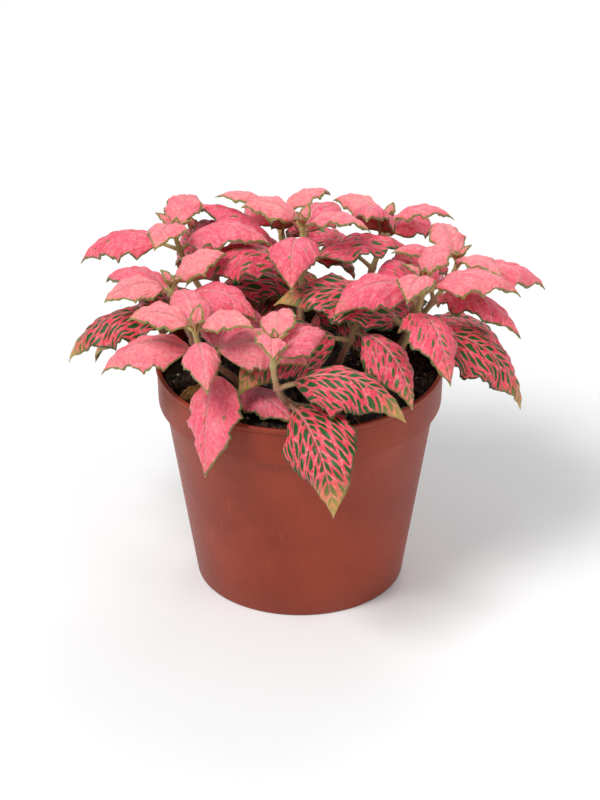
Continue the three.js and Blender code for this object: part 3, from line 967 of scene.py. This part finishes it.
def blade_width(u):
    """Half the width of a blade that is 1 long, at least as wide as the petiole at its base."""
    return np.maximum(half_width(1, u), np.where(u < 0.5, PETIOLE_HALF_WIDTH, 0))


def model_blade(rows, columns):
    """A flat blade from its base at 0 to its tip at 1 along X, as the u and v of its points and its faces."""
    step = 1 / rows
    bpy.ops.mesh.primitive_grid_add(x_subdivisions=1, y_subdivisions=columns, size=1)
    blade = bpy.context.object
    bpy.ops.object.mode_set(mode="EDIT")
    bpy.ops.transform.resize(value=(step, 2 * PETIOLE_HALF_WIDTH, 1), center_override=(0, 0, 0))
    bpy.ops.transform.translate(value=(step / 2, 0, 0))
    pick(blade, lambda co: co.x > step / 2)
    width = PETIOLE_HALF_WIDTH
    for row in range(1, rows):
        if row > 1:
            extrude_edge((step, 0, 0))
        wider = float(blade_width(np.float64(row * step))) / width
        bpy.ops.transform.resize(value=(1, wider, 1), center_override=(0, 0, 0))
        width *= wider
    extrude_edge((step, 0, 0))
    bpy.ops.mesh.merge(type="CENTER")
    bpy.ops.object.mode_set(mode="OBJECT")
    place = places(blade)
    row = np.rint(place[:, 0] * rows).astype(int)
    u = row / rows
    v = np.clip(place[:, 1] / np.maximum(blade_width(u), 1e-9), -1, 1)
    v[row == rows] = 0
    faces = [tuple(face.vertices) for face in blade.data.polygons]
    if sum(face.normal.z for face in blade.data.polygons) < 0:
        faces = [face[::-1] for face in faces]
    bpy.data.objects.remove(blade)
    return {"rows": rows, "row": row, "u": u, "v": v, "faces": faces}


GROWN_BLADE = model_blade(72, 28)
YOUNG_BLADE = model_blade(48, 20)
BUD_BLADE = model_blade(18, 10)
print("the grown blade has", len(GROWN_BLADE["faces"]), "faces, the young one", len(YOUNG_BLADE["faces"]))

# %% [markdown]
# Each leaf takes a copy of the blade and bends it onto its own midrib. On the way it gets what makes leaves
# differ: forward-pointing teeth along the edges, a fine ruffle of the margin, a groove over the midrib and
# soft swellings between the side veins. Each point also remembers where it lies on the flat leaf. The finish
# draws the net of veins from that, so the drawing bends with the leaf.

# %% Bending a blade onto its leaf
FULL_LENGTH = 50
VEIN_GAP = 8.6
VEIN_SLANT = 1.2
VEIN_BEND = 0.044
MESHES_ACROSS = 0.27
LOBES = 5.5
LOBE_DEPTH = 0.03
TEETH = 13
TOOTH_DEPTH = 0.075
GROOVE = 0.34
GROOVE_WIDTH = 1.05
SWELL = 0.36
RUFFLES = 9.5
RUFFLE_HEIGHT = 0.45


def growth_of(leaf):
    """How grown a leaf is: 1 at its full length. Its veins, groove and rib follow this."""
    return (leaf["length"] / FULL_LENGTH) ** 0.6


def remembered(number, side, x, y, margin, grown, age, u):
    """What a point knows about its leaf: its place in the net, its distances in mm, and its age."""
    vein = (x - VEIN_SLANT * y - VEIN_BEND * y**2 / grown) / (VEIN_GAP * grown)
    none = np.zeros_like(x)
    net = np.stack([vein + 40 * number, MESHES_ACROSS * y / grown + 25 * side, none], axis=1)
    return {
        "net": net,
        "edges": np.stack([y, margin, x], axis=1),
        "life": np.stack([np.full_like(x, age), u, none], axis=1),
    }


def bend_blade(model, leaf, number, age):
    """The blade's points in millimetres, and what each of them remembers."""
    rng = np.random.default_rng(100 + number)
    turn = rng.random(8) * 2 * math.pi
    u, v = model["u"], model["v"]
    side = (v < 0).astype(float)
    length = leaf["length"]
    grown = growth_of(leaf)
    drift = u + 0.02 * np.sin(2 * math.pi * 2.1 * u + turn[0])
    fade = np.sqrt(np.sin(math.pi * np.clip(u, 0, 1)))
    lobes = LOBE_DEPTH * np.sin(2 * math.pi * LOBES * drift + turn[1] + side * turn[2])
    teeth = TOOTH_DEPTH * ((TEETH * drift + turn[3] + side * turn[4]) % 1 - 0.5)
    half = length * blade_width(u) * (1 + fade * (lobes + teeth * np.abs(v)))
    points, across, up = spine_of(leaf, model["rows"])
    row = model["row"] + 1
    x, y = u * length, np.abs(v) * half
    margin = np.minimum((1 - np.abs(v)) * half, (1 - u) * length)
    know = remembered(number, side, x, y, margin, grown, age, u)
    flat = blade_points(leaf, points[row], across[row], up[row], u, v, half)
    groove = -GROOVE * grown * np.exp(-((y / (GROOVE_WIDTH * grown)) ** 2))
    between_veins = np.cos(2 * math.pi * know["net"][:, 0]) * np.minimum(1, y / 3.5) * (1 - v**6)
    ruffle = np.sin(2 * math.pi * RUFFLES * drift + turn[5] + side * turn[6]) * fade
    lift = groove - SWELL * grown * between_veins + RUFFLE_HEIGHT * grown * v**4 * ruffle
    return flat + up[row] * lift[:, None], know


def remember(mesh, know):
    """Writes what the points know into the mesh, where the finish can read it."""
    for name, values in know.items():
        layer = mesh.attributes.new(name, "FLOAT_VECTOR", "POINT")
        layer.data.foreach_set("vector", values.astype(np.float32).ravel())


def blades_object(name, blades, thickness, top, underside):
    """One mesh from several bent blades, with a thickness about its middle and a finish on each side."""
    corners, faces, know, start = [], [], {}, 0
    for model, place, facts in blades:
        corners.append(place)
        faces += [tuple(start + c for c in face) for face in model["faces"]]
        for key, values in facts.items():
            know.setdefault(key, []).append(values)
        start += len(place)
    mesh = bpy.data.meshes.new(name)
    mesh.from_pydata((np.vstack(corners) * MM).tolist(), [], faces)
    remember(mesh, {key: np.vstack(values) for key, values in know.items()})
    mesh.materials.append(top)
    mesh.materials.append(underside)
    obj = into_scene(name, mesh)
    thicken = obj.modifiers.new("thickness", "SOLIDIFY")
    thicken.thickness = thickness * MM
    thicken.offset = 0
    thicken.material_offset = 1
    thicken.material_offset_rim = 0
    apply_all(obj)
    smooth(obj, 50)
    return obj


# %% [markdown]
# ## Stems and petioles
#
# A stem is a thin round rod that swells a little at each joint. It is made as a curve with a thickness, which
# is the quickest way to lay a tube along a path. A petiole is the same, and it runs on under the blade as the
# raised midrib. The curve is then turned into a mesh.


# %% Tubes along paths
RIB_STEPS = 16


def stem_path(shoot):
    """The stem's middle line from inside the soil to its tip, with its radius at each point."""
    along = np.concatenate([[-BURIED + 1], np.arange(-3, shoot.length, 0.8), [shoot.length]])
    radius = STEM_FOOT_RADIUS + (STEM_TIP_RADIUS - STEM_FOOT_RADIUS) * np.maximum(0, along / shoot.length)
    for joint in shoot.joints:
        radius = radius * (1 + SWELLING * np.exp(-(((along - joint) / 1.7) ** 2)))
    radius[-1] *= 0.5
    return np.array([shoot.point_at(a) for a in along]), radius


def petiole_path(leaf):
    """From the joint along the petiole, then below the blade's midrib almost to the tip."""
    points, _, up = spine_of(leaf, RIB_STEPS)
    u = np.arange(RIB_STEPS + 1) / RIB_STEPS
    grown = growth_of(leaf)
    stout = max(grown, 0.6)
    rib = (0.72 * (1 - u) ** 0.8 + 0.14) * stout
    below = points[1:] - up[1:] * (GROOVE * grown + 0.1 + 0.8 * rib)[:, None]
    middle = (points[0] + points[1]) / 2 - up[0] * 0.5
    path = np.vstack([points[0], middle, below[:-2]])
    radius = np.concatenate([np.array([1.05, 0.9]) * stout, rib[:-2]])
    return path, radius


def tubes(name, paths, sides):
    """One mesh of round tubes."""
    curve = bpy.data.curves.new(name, "CURVE")
    curve.dimensions = "3D"
    curve.bevel_depth = MM
    curve.bevel_resolution = (sides - 4) // 2
    curve.use_fill_caps = True
    for path, radius in paths:
        spline = curve.splines.new("POLY")
        spline.points.add(len(path) - 1)
        spline.points.foreach_set("co", np.column_stack([path * MM, np.ones(len(path))]).ravel())
        spline.points.foreach_set("radius", radius)
        spline.use_smooth = True
    obj = into_scene(name, curve)
    take(obj)
    bpy.ops.object.convert(target="MESH")
    face_out(obj)
    smooth(obj, 60)
    return obj


# %% [markdown]
# Stems and petioles carry fine pale hairs, about a millimetre long, which stand off them on all sides. One
# three-sided spike is modelled, and copied along each path at random places.


# %% Hairs
HAIRS_PER_MM = 13
HAIR_RADIUS = 0.045


def model_hair():
    """A three-sided spike of length 1 along X, with its foot a little behind the origin."""
    bpy.ops.mesh.primitive_cone_add(vertices=3, radius1=HAIR_RADIUS, radius2=0, depth=1,
                                    rotation=(0, math.pi / 2, 0))
    hair = bpy.context.object
    bpy.ops.object.transform_apply(rotation=True)
    bpy.ops.object.mode_set(mode="EDIT")
    bpy.ops.mesh.select_all(action="SELECT")
    bpy.ops.transform.translate(value=(0.45, 0, 0))
    bpy.ops.object.mode_set(mode="OBJECT")
    return hair


def hairs(name, paths, seed):
    """Spikes on tubes: each at a random place round the tube, leaning a little towards its end."""
    rng = np.random.default_rng(seed)
    spots, turns, sizes = [], [], []
    for path, radius in paths:
        steps = np.diff(path, axis=0)
        lengths = np.linalg.norm(steps, axis=1)
        count = int(lengths.sum() * HAIRS_PER_MM)
        part = rng.choice(len(steps), count, p=lengths / lengths.sum())
        share = rng.random(count)[:, None]
        along = steps[part] / lengths[part][:, None]
        out = unit(np.cross(along, rng.normal(size=(count, 3))))
        lean = unit(out + along * rng.normal(0.25, 0.3, count)[:, None])
        near = radius[part][:, None] * (1 - share) + radius[part + 1][:, None] * share
        spots.append(path[part] + steps[part] * share + out * near * 0.92)
        turns.append(turns_along(lean, along))
        sizes.append(0.55 + 0.55 * rng.random(count))
    size = np.concatenate(sizes)
    scales = np.stack([size, np.ones_like(size), np.ones_like(size)], axis=1)
    return copy_onto(name, model_hair(), np.vstack(turns), scales * MM, np.vstack(spots) * MM)


# %% [markdown]
# ## Leaf finishes
#
# The drawing of the leaf is a node group that any leaf finish can use. It reads the remembered place in the
# net: whole numbers there lie on side veins. Cells of a Voronoi pattern are the meshes of the net, two rows
# of them between one side vein and the next. Each mesh holds a green island that leaves the veins round it
# free. The islands of old leaves fill their meshes, those of half-grown leaves are specks, and young leaves
# have none. The group puts out masks for the islands, the veins, the meshes and the margin.


# %% The drawing of a leaf
WOBBLE = 0.28
YOUNG_BOUND = 0.56
OLD_BOUND = 0.14
ISLAND_REACH = 0.6


def make_nerves():
    tree, given, result = new_group(
        "leaf_nerves",
        {"Net": "NodeSocketVector", "Edges": "NodeSocketVector", "Age": "NodeSocketFloat"},
        {name: "NodeSocketFloat" for name in ("Islands", "Veins", "Meshes", "Margin")},
    )
    wobble = add(tree, "ShaderNodeTexNoise", {"Vector": given["Net"], "Scale": 1.7, "Detail": 2.0})
    shift = vector_maths(tree, "SUBTRACT", wobble.outputs["Color"], (0.5, 0.5, 0.5))
    shift = vector_maths(tree, "MULTIPLY", shift, (WOBBLE, WOBBLE, WOBBLE))
    net = vector_maths(tree, "ADD", given["Net"], shift)
    two_rows = vector_maths(tree, "MULTIPLY", net, (2.0, 1.0, 1.0))
    meshes = {"Vector": two_rows, "Scale": 1.0, "Randomness": 0.6}
    walls = add(tree, "ShaderNodeTexVoronoi", meshes, voronoi_dimensions="2D", feature="DISTANCE_TO_EDGE")
    cells = add(tree, "ShaderNodeTexVoronoi", meshes, voronoi_dimensions="2D", feature="F1")
    from_wall, from_middle = walls.outputs["Distance"], cells.outputs["Distance"]

    chance = add(tree, "ShaderNodeSeparateColor", {"Color": cells.outputs["Color"]}).outputs["Red"]
    age = maths(tree, "MULTIPLY_ADD", maths(tree, "SUBTRACT", chance, 0.5), 0.3, given["Age"])
    bound = ramp_between(tree, age, 0.1, 0.95, YOUNG_BOUND, OLD_BOUND)
    inside = maths(tree, "SUBTRACT", from_wall, bound)
    round_off = maths(tree, "SUBTRACT", maths(tree, "SUBTRACT", ISLAND_REACH, from_middle), bound)
    islands = ramp_between(tree, maths(tree, "SMOOTH_MIN", inside, round_off, 0.12), -0.04, 0.04)

    from_rib, margin, along = add(tree, "ShaderNodeSeparateXYZ", {"Vector": given["Edges"]}).outputs
    off_vein = maths(tree, "PINGPONG", add(tree, "ShaderNodeSeparateXYZ", {"Vector": net}).outputs["X"], 0.5)
    side_vein = ramp_between(tree, off_vein, 0.075, 0.02)
    rib_half = ramp_between(tree, along, 0.0, 45.0, 0.55, 0.15)
    rib = ramp_between(tree, maths(tree, "SUBTRACT", from_rib, rib_half), 0.25, -0.1)
    veins = maths(tree, "MAXIMUM", maths(tree, "MULTIPLY", side_vein, 0.7), rib)
    ragged = maths(tree, "SUBTRACT", wobble.outputs["Fac"], 0.5)
    ragged = maths(tree, "MULTIPLY_ADD", ragged, 0.9, margin)

    off_veins = maths(tree, "SUBTRACT", 1.0, veins)
    tree.links.new(maths(tree, "MULTIPLY", islands, off_veins), result["Islands"])
    tree.links.new(veins, result["Veins"])
    tree.links.new(ramp_between(tree, from_wall, 0.0, 0.42), result["Meshes"])
    tree.links.new(ramp_between(tree, ragged, 1.15, 0.55), result["Margin"])
    return tree


NERVES = make_nerves()
print("the group that draws the nerves has", len(NERVES.nodes), "nodes")


# %% Reading what the points remember
def colour_ramp(tree, value, stops):
    """A colour that changes with a value through several stops."""
    ramp = add(tree, "ShaderNodeValToRGB", {"Fac": value})
    elements = ramp.color_ramp.elements
    while len(elements) < len(stops):
        elements.new(0.5)
    for element, (at, colour) in zip(elements, stops):
        element.position = at
        element.color = colour
    return ramp.outputs["Color"]


def drawn_leaf(tree):
    """The drawing as each point remembers its leaf, the leaf's age, and how near the tip the point is."""
    read = {}
    for name in ("net", "edges", "life"):
        read[name] = add(tree, "ShaderNodeAttribute", attribute_name=name).outputs["Vector"]
    age, u, _ = add(tree, "ShaderNodeSeparateXYZ", {"Vector": read["life"]}).outputs
    return use_group(tree, NERVES, {"Net": read["net"], "Edges": read["edges"], "Age": age}), age, u


# %% [markdown]
# The upper side: pink that deepens with age, green islands and a thin green margin. The tip yellows first.
# The skin is satin, with a fine bump of its cells, and the meshes stand slightly proud of the veins.


# %% Upper side of the leaves
def make_leaf_top():
    material, tree, shader = new_material("nerve_leaf", Specular_IOR_Level=0.35, Subsurface_Weight=0.5,
                                          Subsurface_Scale=2 * MM, Sheen_Weight=0.05)
    drawing, age, u = drawn_leaf(tree)
    blotch = blotched(tree, 130.0, 1900.0)
    mottle = blotched(tree, 330.0, 760.0)["Fine"]
    aged = maths(tree, "MULTIPLY_ADD", maths(tree, "SUBTRACT", blotch["Coarse"], 0.5), 0.7, age)
    pink = colour_ramp(tree, aged, [
        (0.0, screen(251, 136, 140)),
        (0.25, screen(250, 106, 126)),
        (0.5, screen(241, 74, 104)),
        (0.8, screen(230, 64, 90)),
        (1.0, screen(218, 62, 80)),
    ])
    green = colour_ramp(tree, aged, [
        (0.15, screen(158, 132, 84)),
        (0.45, screen(92, 112, 56)),
        (0.75, screen(38, 96, 34)),
        (1.0, screen(22, 82, 28)),
    ])
    rim = colour_ramp(tree, aged, [
        (0.0, screen(108, 130, 60)),
        (0.35, screen(60, 104, 46)),
        (0.9, screen(24, 76, 30)),
    ])
    pale = blend_colours(tree, 0.6, pink, screen(253, 176, 168))
    tone = tint(tree, pink, pale, drawing["Veins"], 0.7)
    tone = tint(tree, tone, screen(228, 62, 90), ramp_between(tree, mottle, 0.52, 0.34), 0.3)
    tone = tint(tree, tone, screen(254, 172, 170), ramp_between(tree, mottle, 0.44, 0.72), 0.36)
    tone = blend_colours(tree, drawing["Islands"], tone, green)
    tone = tint(tree, tone, rim, drawing["Margin"], 0.92)
    yellowed = ramp_between(tree, age, 0.4, 1.0, 0.12, 0.75)
    tone = tint(tree, tone, screen(196, 168, 92), ramp_between(tree, u, 0.66, 1.0), yellowed)
    tone = blend_colours(tree, ramp_between(tree, u, 0.975, 0.995), tone, screen(222, 196, 140))
    tone = blend_colours(tree, ramp_between(tree, u, 0.07, 0.0, 0.0, 0.6), tone, screen(176, 146, 104))
    rough = maths(tree, "MULTIPLY_ADD", blotch["Fine"], 0.16, 0.36)
    relief = maths(tree, "MULTIPLY_ADD", blotch["Fine"], 0.35, drawing["Meshes"])
    relief = maths(tree, "MULTIPLY_ADD", drawing["Veins"], -0.4, relief)
    dress(tree, shader, tone, rough, relief, strength=0.6, depth=0.4)
    return material


LEAF_TOP = make_leaf_top()
print(LEAF_TOP.name, "has", len(LEAF_TOP.node_tree.nodes), "nodes")


# %% [markdown]
# The underside is duller: olive with a blush of the pink that shines through, and paler raised veins.


# %% Underside of the leaves
def make_leaf_underside():
    material, tree, shader = new_material("leaf_underside", Specular_IOR_Level=0.3, Subsurface_Weight=0.4,
                                          Subsurface_Scale=1.5 * MM)
    drawing, age, _ = drawn_leaf(tree)
    blotch = blotched(tree, 160.0, 1500.0)
    aged = maths(tree, "ADD", age, maths(tree, "SUBTRACT", blotch["Coarse"], 0.5))
    blush = colour_ramp(tree, aged, [
        (0.0, screen(212, 138, 118)),
        (0.5, screen(184, 96, 92)),
        (1.0, screen(134, 92, 70)),
    ])
    tone = tint(tree, blush, screen(98, 104, 62), drawing["Islands"], 0.7)
    tone = tint(tree, tone, screen(206, 160, 132), drawing["Veins"], 0.5)
    tone = tint(tree, tone, screen(112, 124, 72), drawing["Margin"], 0.8)
    rough = maths(tree, "MULTIPLY_ADD", blotch["Fine"], 0.2, 0.5)
    relief = maths(tree, "MULTIPLY", drawing["Veins"], 0.8)
    relief = maths(tree, "MULTIPLY_ADD", blotch["Fine"], 0.3, relief)
    dress(tree, shader, tone, rough, relief, strength=0.5, depth=0.3)
    return material


LEAF_UNDERSIDE = make_leaf_underside()
print(LEAF_UNDERSIDE.name, "has", len(LEAF_UNDERSIDE.node_tree.nodes), "nodes")


# %% [markdown]
# Stems are brownish at their foot and yellow-green near the tip, with dark specks. Their hairs are pale and
# let a little light through.


# %% Stems and hairs
def make_stem_skin():
    material, tree, shader = new_material("stem_skin", Specular_IOR_Level=0.35, Subsurface_Weight=0.1,
                                          Subsurface_Scale=0.8 * MM)
    blotch = blotched(tree, 190.0, 1300.0)
    height = add(tree, "ShaderNodeSeparateXYZ", {"Vector": own_place(tree)}).outputs["Z"]
    share = ramp_between(tree, blotch["Coarse"], 0.38, 0.62)
    tone = blend_colours(tree, share, screen(164, 136, 92), screen(180, 116, 100))
    young = ramp_between(tree, height, (SOIL_EDGE + 12) * MM, (SOIL_EDGE + 54) * MM)
    tone = tint(tree, tone, screen(198, 194, 118), young, 0.65)
    tone = tint(tree, tone, screen(104, 66, 50), ramp_between(tree, blotch["Fine"], 0.55, 0.7), 0.45)
    rough = maths(tree, "MULTIPLY_ADD", blotch["Fine"], 0.25, 0.45)
    dress(tree, shader, tone, rough, blotch["Fine"], strength=0.4, depth=0.2)
    return material


def make_hair_finish():
    material, tree, shader = new_material("pale_hair", Roughness=0.5, Specular_IOR_Level=0.4,
                                          Subsurface_Weight=0.1, Subsurface_Scale=0.2 * MM)
    share = ramp_between(tree, blotched(tree, 220.0, 900.0)["Coarse"], 0.35, 0.65)
    dress(tree, shader, blend_colours(tree, share, screen(214, 202, 176), screen(232, 190, 172)))
    return material


STEM_SKIN = make_stem_skin()
HAIR = make_hair_finish()
print("finishes for the stems:", STEM_SKIN.name, "and", HAIR.name)

# %% [markdown]
# ## Growing the stems
#
# Age runs from 0 for a leaf that has just opened to 1 for an old one. It follows from the pair's level, with
# some chance. A few leaves that show well on the real plant have their own: the one that hangs over the front
# left of the rim is still pink, for example. At each stem's tip sit two pairs of tiny leaves, still folded.

# %% Ages and buds
LEVEL_AGES = (0.92, 0.6, 0.3, 0.08)
OWN_AGES = {
    "front_left0": 0.34,
    "front_left1": 0.12,
    "front_left2": 0.14,
    "front_left3": 0.02,
    "front0": 1.0,
    "front1": 0.96,
    "left1": 1.0,
}


def age_of(leaf, rng):
    """A leaf's age, from its level or its own."""
    usual = LEVEL_AGES[leaf["level"]] + rng.normal(0, 0.08)
    return float(np.clip(OWN_AGES.get(leaf["joint"], usual), 0, 1))


def bud_leaves(shoot):
    """Two pairs of tiny leaves, which stand almost upright on the tip of the stem."""
    rng = np.random.default_rng(int(shoot.length * 7 + shoot.heading))
    last = shoot.pairs[-1]
    buds = []
    for length, turn, rise in ((9, 90, 58), (9, 270, 58), (5.5, 0, 72), (5.5, 180, 72)):
        buds.append({
            "root": shoot.line[-1] - 0.4 * leaning(shoot.lean_at(shoot.length), shoot.heading),
            "heading": last + turn + rng.normal(0, 8),
            "rise": rise + rng.normal(0, 6),
            "fall": rise - 34 + rng.normal(0, 8),
            "length": length * (1 + rng.normal(0, 0.1)),
            "fold": 42,
            "curl": 30,
            "roll": rng.normal(0, 8),
            "twist": rng.normal(0, 10),
            "sway": rng.normal(0, 10),
            "wave": rng.random() * 6,
        })
    return buds


print("on each stem's tip sit", len(bud_leaves(shoots[0])), "bud leaves")

# %% Leafy stems
BLADE_THICKNESS = 0.42
LONGEST_YOUNG = 34
NUMBERS_PER_STEM = 12
FIRST_BUD = 8


def bent_blades(mine, buds, index):
    """The blades of a stem's leaves and buds, each bent, numbered and given its age."""
    rng = np.random.default_rng(40 + index)
    first = index * NUMBERS_PER_STEM
    blades = []
    for i, leaf in enumerate(mine):
        model = GROWN_BLADE if leaf["length"] > LONGEST_YOUNG else YOUNG_BLADE
        blades.append((model, *bend_blade(model, leaf, first + i, age_of(leaf, rng))))
    for i, leaf in enumerate(buds):
        blades.append((BUD_BLADE, *bend_blade(BUD_BLADE, leaf, first + FIRST_BUD + i, 0.0)))
    return blades


def make_leafy_stem(shoot, index):
    """A stem's three pieces: its blades, the stem with its petioles, and their hairs."""
    mine = [leaf for leaf in leaves if leaf["stem"] == shoot.name]
    buds = bud_leaves(shoot)
    blades = bent_blades(mine, buds, index)
    blade_piece = blades_object("leaves_" + shoot.name, blades, BLADE_THICKNESS, LEAF_TOP, LEAF_UNDERSIDE)
    settle(blade_piece, "foliage", "leafy_stem_" + shoot.name)

    paths = [stem_path(shoot)] + [petiole_path(leaf) for leaf in mine + buds]
    stem_piece = tubes("stem_" + shoot.name, paths, 10)
    stem_piece.data.materials.append(STEM_SKIN)
    settle(stem_piece, "foliage")

    above, radius = paths[0]
    hairy = [(above[1:], radius[1:])] + [(path[:3], thick[:3]) for path, thick in paths[1:]]
    hair_piece = hairs("hairs_" + shoot.name, hairy, 60 + index)
    hair_piece.data.materials.append(HAIR)
    settle(hair_piece, "foliage")


for index, shoot in enumerate(shoots):
    make_leafy_stem(shoot, index)

# %% [markdown]
# ## The withered leaf
#
# A leaf that dried up has dropped on the soil at the front left. It is the same young blade, crumpled by
# noise, ochre and brown. This kind of noise starts from the clock, so it gets a seed of its own, and the leaf
# comes out the same each time.


# %% Withered leaf
WITHERED_THICKNESS = 0.45
WITHERED_AGE = 0.9
WITHERED_NUMBER = 150
CRUMPLE_SEED = 3
CRUMPLES_PER_MM = 0.42


def make_withered_finish():
    material, tree, shader = new_material("withered_leaf", Specular_IOR_Level=0.25)
    drawing, _, _ = drawn_leaf(tree)
    blotch = blotched(tree, 260.0, 1600.0)
    tone = colour_ramp(tree, blotch["Coarse"], [
        (0.3, screen(138, 92, 44)),
        (0.45, screen(204, 156, 80)),
        (0.62, screen(228, 194, 122)),
    ])
    tone = tint(tree, tone, screen(128, 84, 46), drawing["Veins"], 0.6)
    tone = tint(tree, tone, screen(88, 56, 32), ramp_between(tree, blotch["Fine"], 0.5, 0.7), 0.4)
    rough = maths(tree, "MULTIPLY_ADD", blotch["Fine"], 0.3, 0.6)
    dress(tree, shader, tone, rough, blotch["Fine"], strength=0.8, depth=0.5)
    return material


def make_withered_leaf():
    """The blade, crumpled most at its edges, and its petiole."""
    leaf = fallen_leaf["leaf"]
    place, know = bend_blade(YOUNG_BLADE, leaf, WITHERED_NUMBER, WITHERED_AGE)
    noise.seed_set(CRUMPLE_SEED)
    crumple = np.array([noise.noise_vector(Vector(p) * CRUMPLES_PER_MM) for p in place])
    place = place + crumple * (0.9 * np.abs(YOUNG_BLADE["v"]) + 0.2)[:, None]
    finish = make_withered_finish()
    piece = blades_object("dropped_leaf", [(YOUNG_BLADE, place, know)], WITHERED_THICKNESS, finish, finish)
    settle(piece, "withered_leaf", "withered_leaf")
    rib = tubes("dropped_petiole", [petiole_path(leaf)], 8)
    rib.data.materials.append(finish)
    settle(rib, "withered_leaf")


make_withered_leaf()

# %% [markdown]
# ## The studio
#
# The plant stands on a pale floor. A large soft light comes from the upper left in front, a weak one from the
# right and a third from behind, and the sky fills the shadows. The camera looks down by 29 degrees from over
# two metres away, as a photographer would with a long lens.


# %% Floor and lights
# Each light's name, its place and its width in metres, and its power in watts.
LIGHTS = [
    ("key", (-0.8, -0.9, 1.9), 0.8, 38),
    ("fill", (1.3, -0.9, 0.9), 1.2, 6),
    ("back", (0.4, 1.3, 1.3), 0.9, 10),
]
LIT_POINT = Vector((0, 0, 0.1))
SKY_COLOUR = (0.92, 0.96, 1.0, 1)
SKY_STRENGTH = 0.42


def facing(direction):
    """The turn that makes a light or camera look along a direction."""
    return direction.to_track_quat("-Z", "Y").to_euler()


def make_floor():
    bpy.ops.object.select_all(action="DESELECT")
    bpy.ops.mesh.primitive_plane_add(size=8)
    floor = bpy.context.object
    floor.name = "floor"
    material, tree, shader = new_material("pale_floor", Roughness=0.6, Specular_IOR_Level=0.25)
    share = blotched(tree, 4.0, 90.0)["Coarse"]
    dress(tree, shader, blend_colours(tree, share, screen(236, 236, 235), screen(244, 244, 243)))
    floor.data.materials.append(material)
    floor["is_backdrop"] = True


def soft_light(name, place, width, power):
    """A square light that faces the plant."""
    light = bpy.data.lights.new(name, "AREA")
    light.size = width
    light.energy = power
    lamp = into_scene(name, light)
    lamp.location = place
    lamp.rotation_euler = facing(LIT_POINT - Vector(place))


def make_sky():
    world = bpy.data.worlds.new("studio")
    world.use_nodes = True
    background = world.node_tree.nodes["Background"].inputs
    background["Color"].default_value = SKY_COLOUR
    background["Strength"].default_value = SKY_STRENGTH
    bpy.context.scene.world = world
    bpy.context.scene.view_settings.view_transform = "Standard"


make_floor()
for row in LIGHTS:
    soft_light(*row)
make_sky()
print("lights:", ", ".join(row[0] for row in LIGHTS))

# %% Camera
VIEW_HEIGHT = 0.079
VIEW_ELEVATION = math.radians(29.2)
VIEW_DISTANCE = 2.27
VIEW_WIDTH = 0.25


def make_camera():
    """A camera whose picture is as wide as the view at the plant's distance."""
    camera = bpy.data.cameras.new("camera")
    camera.sensor_fit = "HORIZONTAL"
    camera.lens = camera.sensor_width * VIEW_DISTANCE / VIEW_WIDTH
    stand = into_scene("camera", camera)
    back = Vector((0, -math.cos(VIEW_ELEVATION), math.sin(VIEW_ELEVATION)))
    stand.location = Vector((0, 0, VIEW_HEIGHT)) + back * VIEW_DISTANCE
    stand.rotation_euler = facing(-back)
    bpy.context.scene.camera = stand
    print(f"the camera's lens is {camera.lens:.0f} mm long")


make_camera()

# %% [markdown]
#
# The fine pieces must keep the size of the solids. Both boxes are written side by side.

# %% Boxes of the solids and of the finished plant
finished_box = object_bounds()
boxes = {"solids": SOLID_BOX, "finished": finished_box}
{key: [[round(float(c), 6) for c in corner] for corner in box] for key, box in boxes.items()}
print("solids", SOLID_BOX, "finished", finished_box)
